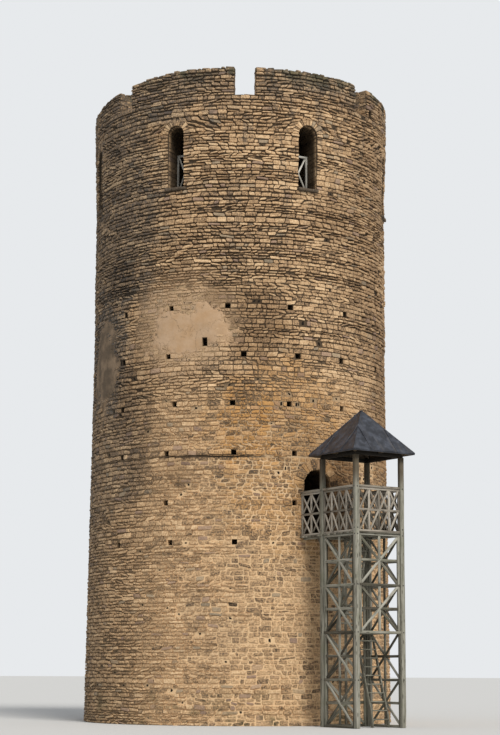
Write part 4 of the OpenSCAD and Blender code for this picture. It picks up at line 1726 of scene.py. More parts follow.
        stringers.build("stringer_timbers", self.timber, "grey_timber", ["stair_stringers"])
        treads.build("tread_boards", self.timber, "grey_timber", ["stair_treads"])
        landing.build("landing_planks", self.timber, "grey_timber", ["stair_landing"])

    def bolts(self) -> None:
        """Builds the round-headed bolts where rails and beams meet the posts."""
        shell = Shell()
        heights = [k * self.lift for k in range(1, 4)] + [self.beam_z + self.beam_h / 2,
                                                         self.deck + 0.1, self.deck + 1.2, 7.1]
        for x in (-self.half, self.half):
            for y in (self.front, self.back):
                for z in heights:
                    for out in ((math.copysign(1, x), 0, 0), (0, -1 if y == self.front else 1, 0)):
                        self.bolt(shell, (x, y, z), out)
        shell.build("bolt_heads", self.iron, "roof_metal")

    def bolt(self, shell: Shell, at: Sequence[float], out: Sequence[float]) -> None:
        """Adds one washer and its round head on a post's face.

        Args:
            shell: Piece that takes it.
            at: The post's middle at that height.
            out: Direction out of the face.
        """
        n = np.array(out, float)
        side = np.cross((0, 0, 1.0), n)
        turn = np.arange(10) / 10 * 2 * math.pi
        rings = [(0.019, -0.002), (0.019, 0.003), (0.011, 0.004), (0.0095, 0.009), (0.005, 0.012)]
        foot = np.array(at, float) + n * self.post / 2
        points = np.concatenate([foot + n * h + r * (np.cos(turn)[:, None] * side
                                 + np.sin(turn)[:, None] * np.array([0, 0, 1.0]))
                                 for r, h in rings] + [foot[None] + n * 0.0125])
        k = np.arange(10)
        fan = np.stack([k + 40, (k + 1) % 10 + 40, np.full(10, 50)], 1)
        shell.add(points, ring_faces(5, 10), fan)

    def build(self) -> None:
        """Builds the whole tower."""
        self.posts()
        for side in Side:
            self.bracing(side, 2 if side is Side.FRONT else 0)
        self.beams()
        self.deck_planks()
        self.railings()
        self.stair()
        self.bolts()


@dataclass
class LandingRoof:
    """The pyramid roof over the landing: plates, boarding and folded metal sheets."""

    # Finish of the plates, near black as painted shade under the eaves.
    shaded_plates: Material
    old: Material
    metal: Material
    centre: float = 6.14
    half: float = 1.03
    eave: float = 7.32
    rise: float = 1.21
    post_half: float = 0.76
    plate_w: float = 0.094
    plate_z: float = 7.21
    plate_h: float = 0.11
    boarding: float = 0.06
    fascia: float = 0.04
    seam_x: float = 0.433
    seam_w: float = 0.016
    seed: int = 121

    @property
    def pitch(self) -> float:
        """Slope of the roof as an angle."""
        return math.atan2(self.rise, self.half)

    def slope(self, side: int) -> tuple[Array, Array, Array, Array]:
        """Frame of one slope: the middle of its eaves, along them, up the slope and out.

        Args:
            side: 0 for the slope on the -Y side, then turning left.

        Returns:
            Four vectors.
        """
        t = side * math.pi / 2
        along = np.array([math.cos(t), math.sin(t), 0.0])
        down = np.array([math.sin(t), -math.cos(t), 0.0])
        up = -down * math.cos(self.pitch) + np.array([0, 0, math.sin(self.pitch)])
        start = np.array([0, -self.centre, self.eave]) + down * self.half
        return start, along, up, np.cross(along, up)

    def plates(self) -> None:
        """Builds the ring of plates on the posts."""
        shell, h = TimberShell(self.seed), self.post_half
        z, w = self.plate_z + self.plate_h / 2, self.plate_w / 2
        for side in (-1, 1):
            y = -self.centre + side * h
            shell.beam((-h - w, y, z), (h + w, y, z), self.plate_w, self.plate_h)
            shell.beam((side * h, -self.centre - h + w, z), (side * h, -self.centre + h - w, z),
                       self.plate_w, self.plate_h)
        shell.build("plate_timbers", self.shaded_plates, "grey_timber", ["head_plates"])

    def boards(self) -> None:
        """Lays the boarding in rows from the eaves up, and the fascia below them."""
        shell = TimberShell(self.seed + 1)
        cos, thick = math.cos(self.pitch), self.boarding * math.cos(self.pitch)
        length = self.half / cos
        for side in range(4):
            start, along, up, out = self.slope(side)
            edges = np.linspace(0, length, 12)
            for a, b in zip(edges, edges[1:]):
                xa, xb = ((length - v) * cos for v in (a, b))
                lower, upper = max(xa - 0.03, 0.02), max(xb - 0.03, 0.008)
                shell.board([(-lower, a + 0.0015), (lower, a + 0.0015), (upper, b - 0.0015),
                             (-upper, b - 0.0015)], thick, start - out * thick / 2, along, up)
            foot = start - np.array([0, 0, self.fascia / 2 - 0.006]) + np.cross((0, 0, 0.014), along)
            shell.beam(foot - along * (self.half - 0.002), foot + along * (self.half - 0.002), 0.026,
                       self.fascia + 0.012, tone=0.35)
        shell.build("roof_boards", self.old, "old_timber", ["roof_boarding"])

    def pan(self, shell: Shell, side: int, left: float, right: float) -> None:
        """Adds one sheet between two seams, a little buckled.

        Args:
            shell: Piece that takes the sheet.
            side: Number of the slope.
            left: Left edge, from the slope's middle.
            right: Right edge.
        """
        start, along, up, out = self.slope(side)
        cos, rows, cols = math.cos(self.pitch), 27, 13
        cover = self.half + 0.008
        v = np.linspace(0, 1, rows)[:, None]
        top = cover if left < 0 < right else cover - min(abs(left), abs(right))
        away = cover - v * top
        low = np.maximum(left, -away)
        high = np.minimum(right, away)
        t = np.linspace(0, 1, cols)[None]
        x = low + (high - low) * t
        climb = (self.half - away) / cos + 0 * t
        edge = np.minimum(t, 1 - t) * (high - low)
        out_h = 0.007 + 0.0028 * ripple(x + 7 * side, climb, self.seed, 0.9) \
            + 0.005 * np.exp(-np.maximum(edge, 0) / 0.014)
        points = start + x[..., None] * along + climb[..., None] * up + out_h[..., None] * out
        shell.add(points.reshape(-1, 3), grid_faces(rows, cols),
                  run=np.stack([x, climb, np.full_like(x, side * 5.0 + left)], 2).reshape(-1, 3))

    def sheets(self) -> None:
        """Builds the sheets, their standing seams, the hips and the drips at the eaves."""
        sheets, seams = Shell(), TimberShell(self.seed + 2)
        cos = math.cos(self.pitch)
        apex = np.array([0, -self.centre, self.eave + self.rise])
        for side in range(4):
            start, along, up, out = self.slope(side)
            for left, right in ((-2, -self.seam_x), (-self.seam_x, self.seam_x), (self.seam_x, 2)):
                self.pan(sheets, side, left, right)
            for x in (-self.seam_x, self.seam_x):
                foot = start + along * x - up * 0.008 + out * 0.014
                head = start + along * x + up * (self.half - abs(x)) / cos + out * 0.014
                seams.beam(foot, head, self.seam_w, 0.022, up=out, chamfer=0.004, tone=0.5)
            lip = start + np.cross((0, 0, -1.0), along) * 0.005 - np.array([0, 0, self.fascia / 2 - 0.004])
            seams.beam(lip - along * (self.half + 0.006), lip + along * (self.half + 0.006), 0.004,
                       self.fascia + 0.004, chamfer=0.001, tone=0.45)
            corner = start + along * self.half
            hip = corner - apex
            hip /= np.linalg.norm(hip)
            across = np.cross(hip, (0, 0, 1.0))
            over = np.cross(across, hip)
            over = over / np.linalg.norm(over) * (1 if over[2] > 0 else -1)
            seams.beam(apex + over * 0.008, corner + hip * 0.006 + over * 0.008, 0.024, 0.026, up=over,
                       chamfer=0.008, tone=0.55)
        shape = [(math.cos(math.pi * k / 4) * 0.055, math.sin(math.pi * k / 4) * 0.055) for k in range(8)]
        seams.board(shape, 0.012, apex + np.array([0, 0, 0.005]), (1, 0, 0), (0, 1, 0), 0.004)
        sheets.build("roof_metal_sheets", self.metal, "roof_metal", ["roof_sheets"])
        seams.build("roof_metal_seams", self.metal, "roof_metal")

    def build(self) -> None:
        """Builds the whole roof."""
        self.plates()
        self.boards()
        self.sheets()


# Finishes


class Value:
    """A shader value, which adds a Math node for each sum that it takes part in."""

    def __init__(self, graph: "Graph", socket: Socket) -> None:
        """Keeps the socket that gives the value, and its graph."""
        self.graph, self.socket = graph, socket

    def __add__(self, other: "Value | float") -> "Value":
        """The two together."""
        return self.graph.math("ADD", self, other)

    def __sub__(self, other: "Value | float") -> "Value":
        """This less the other."""
        return self.graph.math("SUBTRACT", self, other)

    def __rsub__(self, other: float) -> "Value":
        """A number less this."""
        return self.graph.math("SUBTRACT", other, self)

    def __mul__(self, other: "Value | float") -> "Value":
        """This times the other."""
        return self.graph.math("MULTIPLY", self, other)

    def __truediv__(self, other: "Value | float") -> "Value":
        """This divided by the other."""
        return self.graph.math("DIVIDE", self, other)


class Graph:
    """Short calls that add nodes to one shader tree."""

    def __init__(self, tree: bpy.types.NodeTree) -> None:
        """Keeps the tree that the nodes go to."""
        self.tree = tree

    def feed(self, node: bpy.types.Node, inputs: dict) -> None:
        """Links or sets a node's inputs.

        Args:
            node: The node.
            inputs: Values, numbers or colours for its inputs, by name or number.
        """
        for key, value in inputs.items():
            socket = node.inputs[key]
            if isinstance(value, Value):
                self.tree.links.new(value.socket, socket)
            else:
                socket.default_value = (*value, 1.0) if socket.type == "RGBA" else value

    def node(self, kind: str, inputs: dict | None = None, **settings: object) -> bpy.types.Node:
        """Adds a node.

        Args:
            kind: Its type, without the ShaderNode in front.
            inputs: What its inputs get.
            settings: Its own settings.

        Returns:
            The node.
        """
        node = self.tree.nodes.new(f"ShaderNode{kind}")
        for key, value in settings.items():
            setattr(node, key, value)
        self.feed(node, inputs or {})
        return node

    def get(self, kind: str, inputs: dict | None = None, output: int | str = 0,
            **settings: object) -> Value:
        """Adds a node and gives one of its outputs."""
        return Value(self, self.node(kind, inputs, **settings).outputs[output])

    def math(self, op: str, a: Value | float, b: Value | float = 0.0) -> Value:
        """What a Math node makes of its values."""
        return self.get("Math", {0: a, 1: b}, operation=op)

    def length(self, a: Value, b: Value) -> Value:
        """Length of a vector with two parts."""
        return self.math("SQRT", a * a + b * b)

    def vector(self, op: str, a: Value, b: Value | tuple[float, float, float]) -> Value:
        """What a Vector Math node makes of two vectors."""
        return self.get("VectorMath", {0: a, 1: b}, operation=op)

    def scaled(self, at: Value, x: float, y: float, z: float) -> Value:
        """A vector multiplied part by part."""
        return self.vector("MULTIPLY", at, (x, y, z))

    def parts(self, at: Value) -> list[Value]:
        """The three parts of a vector."""
        return [Value(self, o) for o in self.node("SeparateXYZ", {0: at}).outputs]

    def mix(self, share: Value, a: Value | Colour, b: Value | Colour, mode: str = "MIX") -> Value:
        """Two colours mixed."""
        return self.get("Mix", {0: share, 6: a, 7: b}, 2, data_type="RGBA", blend_type=mode)

    def coats(self, colour: Value | Colour, *coats: tuple[Value, Value | Colour]) -> Value:
        """A colour under others, each with the share that it covers.

        Args:
            colour: The lowest colour.
            coats: Colours and their shares, lowest first.

        Returns:
            The colour on top.
        """
        for share, over in coats:
            colour = self.mix(share, colour, over)
        return colour

    def span(self, value: Value, low: float, high: float, to_low: float = 0.0,
             to_high: float = 1.0) -> Value:
        """A value's range carried smoothly to another, and held at its ends."""
        return self.get("MapRange", {0: value, 1: low, 2: high, 3: to_low, 4: to_high},
                        interpolation_type="SMOOTHSTEP")

    def noise(self, at: Value, scale: float, detail: float = 4.0, rough: float = 0.55,
              warp: float = 0.0) -> Value:
        """A Noise texture's value, about 0.5 on average."""
        return self.get("TexNoise", {"Vector": at, "Scale": scale, "Detail": detail,
                                     "Roughness": rough, "Distortion": warp})

    def cells(self, at: Value, scale: float, feature: str = "F1", output: str = "Distance") -> Value:
        """A Voronoi texture's value."""
        return self.get("TexVoronoi", {"Vector": at, "Scale": scale}, output, feature=feature)

    def ramp(self, value: Value, *stops: tuple[float, Colour]) -> Value:
        """A value turned into a colour between stops, the first and the last one first.

        Args:
            value: The value.
            stops: Positions and colours.

        Returns:
            The colour.
        """
        node = self.node("ValToRGB", {0: value})
        band = node.color_ramp
        for k, (place, colour) in enumerate(stops):
            stop = band.elements[k] if k < 2 else band.elements.new(place)
            stop.position, stop.color = place, (*colour, 1.0)
        return Value(self, node.outputs[0])

    def attribute(self, name: str, output: str = "Fac") -> Value:
        """A mesh attribute's value."""
        return self.get("Attribute", output=output, attribute_name=name)

    def place(self) -> Value:
        """Position in the piece's own coordinates, which are the keep's."""
        return self.get("TexCoord", output="Object")

    def use(self, group: bpy.types.NodeTree, **inputs: Value) -> dict[str, Value]:
        """The outputs of a node group, by name."""
        node = self.node("Group", inputs, node_tree=group)
        return {o.name: Value(self, o) for o in node.outputs}


def shared_group(name: str, fill: Callable[..., dict[str, Value]],
                 *vectors: str) -> bpy.types.NodeTree:
    """Makes a shader node group.

    Args:
        name: Its name.
        fill: Adds its nodes, from its graph and inputs, and gives the value of each output.
        vectors: Names of its inputs, which are vectors.

    Returns:
        The group.
    """
    tree = bpy.data.node_groups.new(name, "ShaderNodeTree")
    for key in vectors:
        tree.interface.new_socket(name=key, in_out="INPUT", socket_type="NodeSocketVector")
    entry, leave = tree.nodes.new("NodeGroupInput"), tree.nodes.new("NodeGroupOutput")
    g = Graph(tree)
    for key, value in fill(g, *(Value(g, entry.outputs[k]) for k in vectors)).items():
        tree.interface.new_socket(name=key, in_out="OUTPUT", socket_type="NodeSocketFloat")
        tree.links.new(value.socket, leave.inputs[key])
    return tree


def wall_weather(g: Graph) -> dict[str, Value]:
    """Says how the weather has marked each place on the keep, one mask for each mark; some marks are partly
    painted shade, and one is painted shade only, within the wall's thickness.

    Args:
        g: Graph of the group.

    Returns:
        The group's outputs by their names.
    """
    at = g.place()
    x, y, z = g.parts(at)
    turn = g.math("ARCTAN2", x, y * -1.0) * math.degrees(1)
    big, loose = g.noise(at, 0.55, 3.0), g.noise(at, 1.7, 5.0, 0.6)

    def patch(bearing: float, height: float, wide: float, tall: float) -> Value:
        """A soft-edged patch round a place on the wall."""
        away = g.length((turn - bearing) / wide, (z - height) / tall)
        return g.span(away + (loose - 0.5) * 1.3, 0.55, 1.15, 1.0, 0.0)

    def most(*masks: tuple[Value, float]) -> Value:
        """The strongest of some masks, each with its share.

        Args:
            masks: The masks and their shares.

        Returns:
            The strongest.
        """
        found: Value | float = 0.0
        for mask, share in masks:
            found = g.math("MAXIMUM", found, mask * share)
        return found

    def patches(*places: tuple[float, ...]) -> list[tuple[Value, float]]:
        """Patches from their bearings, heights, half sizes and shares."""
        return [(patch(*place[:4]), place[4]) for place in places]

    lee = (x * -0.5 + y * 0.866) / g.length(x, y)
    exposed = g.span(lee, 0.3, 0.9) * g.span(z, 3.8, 6.5, 0.6, 1.0)
    runs = g.span(g.noise(g.scaled(at, 1.0, 1.0, 0.12), 3.2, 5.0, 0.6), 0.5, 0.68) \
        * g.span(z, 11.0, 17.6, 0.12, 0.75)
    # Dirt mask: the rain runs, the far side's exposed face and the rim are real dirt; the patches, which
    # darken the wall towards its left and right limbs, are partly painted shade.
    grime = most(*patches((-98, 10.7, 22, 2.6, 1.0), (-90, 15, 30, 3.8, 0.8), (-88, 7.8, 24, 2.2, 0.55),
                          (-80, 18.1, 44, 1.3, 0.8), (-86, 12.6, 18, 1.0, 0.95),
                          (42, 16.4, 14, 2.4, 0.2)),
                 (exposed, 0.9), (runs, 0.8), (g.span(big, 0.52, 0.68), 0.2))
    # Dark stains, and painted shade: the strongest patch, at bearing 9 just under the landing roof, paints
    # the roof's shadow on the wall.
    soot_and_shade = most(*patches((26, 14.2, 22, 4.4, 0.35), (40, 9.2, 14, 3.6, 0.65), (-26, 11.1, 12, 1.4, 0.55),
                         (-73, 9, 8, 3, 0.3), (8, 14.3, 15, 1.4, 0.35), (-41, 11.9, 6, 0.6, 0.5),
                         (29, 8.7, 13, 0.7, 0.55), (-86, 12.7, 13, 0.6, 0.5),
                         (-56, 12.75, 6, 0.5, 0.45), (-78, 9.1, 8, 0.9, 0.5), (-88, 10, 6, 0.8, 0.5),
                         (-55, 7, 7, 0.6, 0.4), (9, 6.4, 14, 1.25, 1.0)))
    top = g.span(z, 17.2, 18.5) * g.span(loose, 0.3, 0.62)
    low = g.span(z + big * 3.0, 12.2, 8.2) * g.span(lee, 0.35, -0.05, 0.2, 1.0)
    moss = g.math("MAXIMUM", g.span(z, 18.0, 18.62) * g.span(loose, 0.42, 0.66),
                  g.span(z, 1.4, 0.0) * g.span(loose, 0.45, 0.7))
    return {"Grime": g.math("MAXIMUM", grime, top), "Soot": soot_and_shade, "Moss": moss,
            "Warmth": most(*patches((-16, 7.6, 34, 3, 0.7), (-29, 8.2, 14, 1.6, 1), (75, 5.5, 60, 4, 0.5))),
            # Painted shade only: near black on every face within the wall's thickness below the terrace, as
            # in the doorway and gallery doors.
            "Inside": g.span(g.length(x, y), 4.44, 4.18) * g.span(z, 17.35, 17.2),
            "Low": low * (1.0 - patch(-46, 7.35, 24, 0.07)),
            "Lime": most(*patches((-57, 11.15, 25, 1.7, 1), (-97, 10.4, 12, 1.7, 1)))}


def stone_grain(g: Graph) -> dict[str, Value]:
    """The grain of broken sandstone: a Speckle, a Grit and a Height.

    Args:
        g: Graph of the group.

    Returns:
        The group's outputs by their names.
    """
    at = g.place()
    coarse, fine = g.noise(at, 17.0, 6.0, 0.66, 0.5), g.noise(at, 130.0, 3.0, 0.6)
    beds = g.noise(g.scaled(at, 4.5, 4.5, 30.0), 1.0, 4.0, 0.62)
    speckle = coarse * 0.5 + beds * 0.38 + fine * 0.12
    return {"Speckle": speckle, "Grit": g.span(g.noise(at, 25.0, 2.0, 0.5), 0.34, 0.66),
            "Height": speckle + g.span(g.cells(at, 45.0), 0.0, 0.3) * 0.25}


def wood_grain(g: Graph, run: Value) -> dict[str, Value]:
    """The grain of weathered timber: Streak, Crack and Knot masks and a Height.

    Args:
        g: Graph of the group.
        run: Place along, across and up the timber.

    Returns:
        The group's outputs by their names.
    """
    wavy = g.noise(g.scaled(run, 1.6, 9.0, 9.0), 1.0, 2.0)
    rings = g.noise(g.vector("ADD", g.scaled(run, 0.9, 34.0, 34.0), (0, 1, 1)), 1.3, 5.0, 0.62, 0.8)
    fibre = g.noise(g.scaled(run, 7.0, 190.0, 190.0), 1.0, 3.0, 0.6)
    crack = g.span(g.noise(g.scaled(run, 1.2, 46.0, 46.0), 1.0, 2.0, 0.4), 0.655, 0.70)
    streak = rings * 0.6 + (wavy * 0.2 + fibre * 0.2)
    return {"Streak": streak, "Crack": crack,
            "Knot": g.span(g.cells(g.scaled(run, 3.0, 11.0, 11.0), 1.0), 0.24, 0.13),
            "Height": streak - crack * 0.9}


class Workshop:
    """The node groups that several finishes share, each made once."""

    def __init__(self) -> None:
        """Makes the groups."""
        self.weather = shared_group("wall weather", wall_weather)
        self.grain = shared_group("stone grain", stone_grain)
        self.wood = shared_group("wood grain", wood_grain, "Run")


class Finish:
    """A material that is worked out from its own fields."""

    name: str
    usual: Colour
    specular: float
    depth: float

    def surface(self, g: Graph, shop: Workshop) -> tuple[Value, Value, Value]:
        """Colour, roughness and height of the relief.

        Args:
            g: Graph of the material.
            shop: The shared node groups.

        Returns:
            The three, the height without a unit: depth turns it into metres.
        """
        raise NotImplementedError

    def material(self, shop: Workshop) -> Material:
        """The finish as a material.

        Args:
            shop: The shared node groups.

        Returns:
            The material.
        """
        made = bpy.data.materials.new(self.name)
        made.use_nodes = True
        made.diffuse_color = (*self.usual, 1.0)
        skin = next(n for n in made.node_tree.nodes if n.type == "BSDF_PRINCIPLED")
        g = Graph(made.node_tree)
        colour, rough, height = self.surface(g, shop)
        bump = g.get("Bump", {"Height": height, "Strength": 1.0, "Distance": self.depth})
        g.feed(skin, {"Base Color": colour, "Roughness": rough, "Normal": bump,
                      "Specular IOR Level": self.specular})
        return made


# Near black, painted as the shade of holes and of faces within the wall's thickness.
HOLLOW_SHADE: Colour = (0.012, 0.009, 0.006)
# Darkening of the dark-stain mask, which is partly painted shade.
SOOT_AND_SHADE: Colour = (0.42, 0.38, 0.35)


@dataclass(frozen=True)
class StoneFinish(Finish):
    """Broken sandstone of many tones, with dirt and painted shade in its joints."""

    name: str = "sandstone rubble"
    dark: Colour = (0.105, 0.073, 0.046)
    brown: Colour = (0.33, 0.215, 0.122)
    usual: Colour = (0.53, 0.345, 0.187)
    pale: Colour = (0.73, 0.52, 0.31)
    plum: Colour = (0.30, 0.205, 0.160)
    grey: Colour = (0.30, 0.25, 0.180)
    grime: Colour = (0.085, 0.079, 0.073)
    gold: Colour = (0.52, 0.270, 0.085)
    lime: Colour = (0.68, 0.475, 0.275)
    # Colour laid on the stones' sides in the joints: dirt and painted shade.
    joint: Colour = (0.085, 0.058, 0.034)
    wash: Colour = (0.52, 0.36, 0.225)
    moss: Colour = (0.075, 0.072, 0.034)
    specular: float = 0.18
    depth: float = 0.017

    def surface(self, g: Graph, shop: Workshop) -> tuple[Value, Value, Value]:
        """Colour, roughness and height of the relief.

        Args:
            g: Graph of the material.
            shop: The shared node groups.

        Returns:
            The three, the height without a unit: depth turns it into metres.
        """
        tone, tint, edge = (g.attribute(k) for k in ("tone", "tint", "edge"))
        grain, weather = g.use(shop.grain), g.use(shop.weather)
        speckle, grit, lime = grain["Speckle"], grain["Grit"], weather["Lime"]
        shade = tone * 0.8 + 0.1 + (speckle - 0.5) * 2.0 + (grit - 0.5) * 0.42
        golden = weather["Warmth"] * g.span(tint, 0.1, 0.8, 0.5, 0.9)
        washed = lime * g.span(grit, 0.15, 0.5) * g.span(speckle, 0.38, 0.54, 0.35, 0.92)
        # Dirt, partly painted shade towards the wall's limbs.
        grimy_and_shaded = weather["Grime"] * g.span(speckle, 0.58, 0.46, 0.55, 1.0) \
            * g.span(shade, 0.45, 0.95, 1.0, 0.55)
        # Dirt and painted shade on the stones' sides down in the joints, except where pale mortar or lime
        # fills them.
        joint_dirt_and_shade = g.span(edge, 0.55, 1.0, 0.0, 0.8) * (1.0 - g.math("MAXIMUM", weather["Low"], lime))
        colour = g.coats(
            g.ramp(shade, (0.03, self.dark), (0.97, self.pale), (0.3, self.brown), (0.6, self.usual)),
            (g.span(tint, 0.04, 0.01, 0.0, 0.7), self.plum),
            (g.span(tint, 0.96, 0.99, 0.0, 0.65), self.grey),
            (golden, g.mix(g.span(shade, 0.1, 0.7), self.dark, self.gold)),
            (washed, self.wash), (grimy_and_shaded, self.grime), (weather["Moss"] * 0.75, self.moss),
            (g.span(edge, 0.4, 1.0, 0.0, 0.85) * weather["Low"], self.lime), (joint_dirt_and_shade, self.joint))
        # The dark-stain mask, partly painted shade, darkens the colour; then lost stones' places and every
        # face within the wall's thickness are painted near black as shade.
        colour = g.coats(g.mix(weather["Soot"], colour, SOOT_AND_SHADE, "MULTIPLY"),
                         (g.span(tone, 0.02, 0.0), HOLLOW_SHADE), (weather["Inside"] * 0.85, HOLLOW_SHADE))
        return colour, g.span(speckle, 0.3, 0.7, 0.95, 0.8), grain["Height"]


@dataclass(frozen=True)
class MortarFinish(Finish):
    """Lime mortar of the bed behind the stones, and rubble on the walls' inner faces."""

    name: str = "lime mortar"
    usual: Colour = (0.70, 0.49, 0.285)
    # Dark colour of the recessed joints' bed: painted shade, partly dark mortar; also the painted joints of
    # the inner faces' rubble.
    joint_dirt_and_shade: Colour = (0.09, 0.062, 0.038)
    stone: Colour = (0.30, 0.215, 0.13)
    grime: Colour = (0.06, 0.05, 0.038)
    specular: float = 0.15
    depth: float = 0.007

    def surface(self, g: Graph, shop: Workshop) -> tuple[Value, Value, Value]:
        """Colour, roughness and height of the relief.

        Args:
            g: Graph of the material.
            shop: The shared node groups.

        Returns:
            The three, the height without a unit: depth turns it into metres.
        """
        at = g.place()
        grain, weather = g.use(shop.grain), g.use(shop.weather)
        x, y, _ = g.parts(at)
        inner = g.span(g.length(x, y), 4.30, 4.22)
        # Small pits painted dark, as their shade.
        holes = g.span(g.noise(at, 24.0, 3.0, 0.6), 0.60, 0.66, 0.0, 0.8)
        # The bed: dark where the joints are recessed, as painted shade and partly dark mortar; pale low
        # down and under the lime; dirt on it is partly painted shade towards the limbs, and the pits are
        # painted dark.
        bed = g.coats(self.joint_dirt_and_shade, (g.math("MAXIMUM", weather["Low"], weather["Lime"] * 0.7), self.usual),
                      (weather["Grime"] * 0.8, self.grime), (holes, self.grime))
        flat = g.scaled(at, 3.1, 3.1, 7.5)
        seam = g.cells(flat, 1.0, "DISTANCE_TO_EDGE")
        each = g.get("SeparateColor", {0: g.cells(flat, 1.0, "F1", "Color")})
        rubble = g.coats(self.stone, (each, self.usual), (g.span(seam, 0.075, 0.02), self.joint_dirt_and_shade))
        # The dark-stain mask, partly painted shade, darkens the bed; faces within the wall's thickness are
        # painted near black as shade.
        colour = g.coats(g.mix(weather["Soot"], bed, SOOT_AND_SHADE, "MULTIPLY"), (inner, rubble),
                         (weather["Inside"] * 0.85, HOLLOW_SHADE))
        height = grain["Height"] + g.span(seam, 0.02, 0.09) * (inner * 2.2)
        return colour, g.span(grain["Speckle"], 0.3, 0.7, 0.97, 0.86), height


@dataclass(frozen=True)
class PlasterFinish(Finish):
    """Old lime plaster, thin at its torn edges."""

    name: str = "lime plaster"
    usual: Colour = (0.51, 0.355, 0.228)
    thin: Colour = (0.40, 0.275, 0.17)
    stain: Colour = (0.46, 0.295, 0.165)
    grime: Colour = (0.075, 0.063, 0.049)
    crack: Colour = (0.12, 0.085, 0.055)
    specular: float = 0.15
    depth: float = 0.004

    def surface(self, g: Graph, shop: Workshop) -> tuple[Value, Value, Value]:
        """Colour, roughness and height of the relief.

        Args:
            g: Graph of the material.
            shop: The shared node groups.

        Returns:
            The three, the height without a unit: depth turns it into metres.
        """
        at, grain = g.place(), g.use(shop.grain)
        clouds = g.noise(at, 1.9, 6.0, 0.62)
        # Dirt, partly painted shade towards the wall's limbs.
        grimy_and_shaded = g.use(shop.weather)["Grime"] * g.span(clouds, 0.35, 0.6, 0.55, 0.85)
        bent = g.vector("ADD", at, g.noise(at, 3.0))
        cracks = g.span(g.cells(bent, 1.1, "DISTANCE_TO_EDGE"), 0.012, 0.0) * 0.5
        colour = g.coats(self.usual, (g.span(clouds, 0.36, 0.68), self.stain),
                         (g.span(g.attribute("cover"), 0.9, 0.1, 0.0, 0.7), self.thin),
                         (g.span(grain["Speckle"], 0.56, 0.34, 0.0, 0.25), self.thin),
                         (grimy_and_shaded, self.grime), (cracks, self.crack))
        return colour, g.span(grain["Speckle"], 0.3, 0.7, 0.95, 0.85), grain["Height"] - cracks


class Run(Enum):
    """Where a timber finish takes the run of its grain from."""

    PIECE = "each timber's own grain"
    ACROSS = "the keep's Y direction"


@dataclass(frozen=True)
class TimberFinish(Finish):
    """Weathered timber."""

    name: str
    dark: Colour
    usual: Colour
    pale: Colour
    algae: Colour
    run: Run = Run.PIECE
    # Colour of the timber under the landing roof: partly less weathered wood, partly painted shade.
    fresh_wood_and_shade: Colour = (0.085, 0.062, 0.037)
    specular: float = 0.25
    depth: float = 0.0016

    def surface(self, g: Graph, shop: Workshop) -> tuple[Value, Value, Value]:
        """Colour, roughness and height of the relief.

        Args:
            g: Graph of the material.
            shop: The shared node groups.

        Returns:
            The three, the height without a unit: depth turns it into metres.
        """
        at = g.place()
        x, y, z = g.parts(at)
        if self.run is Run.PIECE:
            run, tone = g.attribute("grain", "Vector"), g.attribute("tone")
        else:
            run, tone = g.get("CombineXYZ", {0: y, 1: x, 2: z}), g.noise(at, 0.6, 1.0)
        wood = g.use(shop.wood, Run=run)
        shade = wood["Streak"] + (tone - 0.5) * 0.42
        # Timber just under the landing roof is darkened: partly less weathered wood, partly painted shade
        # of the roof.
        sheltered_and_shaded = g.span(z, 6.2, 6.85) * g.span(z, 7.6, 7.5)
        colour = g.coats(
            g.ramp(shade, (0.35, self.dark), (0.68, self.pale), (0.50, self.usual)),
            (g.span(g.noise(at, 2.6, 4.0), 0.5, 0.7) * 0.3, self.algae), (sheltered_and_shaded * 0.85, self.fresh_wood_and_shade),
            (wood["Knot"] * 0.7, self.dark), (wood["Crack"] * 0.85, tuple(c * 0.25 for c in self.dark)))
        return colour, g.span(wood["Streak"], 0.3, 0.7, 0.92, 0.7), wood["Height"]


@dataclass(frozen=True)
class SheetFinish(Finish):
    """Dark painted sheet metal with dust and rain streaks."""

    name: str = "dark roof sheet"
    usual: Colour = (0.015, 0.017, 0.024)
    worn: Colour = (0.062, 0.070, 0.092)
    dust: Colour = (0.10, 0.085, 0.07)
    specular: float = 0.5
    depth: float = 0.003

    def surface(self, g: Graph, shop: Workshop) -> tuple[Value, Value, Value]:
        """Colour, roughness and height of the relief.

        Args:
            g: Graph of the material.
            shop: The shared node groups.

        Returns:
            The three, the height without a unit: depth turns it into metres.
        """
        at = g.place()
        clouds, fine = g.noise(at, 4.5, 8.0, 0.68), g.noise(at, 240.0, 2.0)
        streaks = g.noise(g.scaled(g.attribute("run", "Vector"), 14.0, 1.1, 1.0), 1.0, 4.0)
        colour = g.coats(self.usual, (g.span(clouds, 0.4, 0.7), self.worn),
                         (g.span(streaks, 0.52, 0.72, 0.0, 0.35), self.dust))
        return colour, g.span(clouds, 0.3, 0.7, 0.34, 0.5) + fine * 0.08, clouds + fine * 0.1


@dataclass(frozen=True)
class PavingFinish(Finish):
    """Worn lime paving."""

    name: str = "worn paving"
    usual: Colour = (0.42, 0.35, 0.26)
    dark: Colour = (0.20, 0.165, 0.12)
    specular: float = 0.2
    depth: float = 0.004

    def surface(self, g: Graph, shop: Workshop) -> tuple[Value, Value, Value]:
        """Colour, roughness and height of the relief.

        Args:
            g: Graph of the material.
            shop: The shared node groups.

        Returns:
            The three, the height without a unit: depth turns it into metres.
        """
        grain, clouds = g.use(shop.grain), g.noise(g.place(), 1.3, 5.0, 0.6)
        tone = g.span(clouds, 0.35, 0.68) + (g.attribute("tone") - 0.5) * 0.5
        colour = g.coats(self.dark, (tone, self.usual),
                         (g.span(g.attribute("edge"), 0.4, 1.0, 0.0, 0.6), self.dark),
                         (g.span(grain["Speckle"], 0.56, 0.36, 0.0, 0.4), self.dark))
        return colour, g.span(grain["Speckle"], 0.3, 0.7, 0.9, 0.75), grain["Height"]


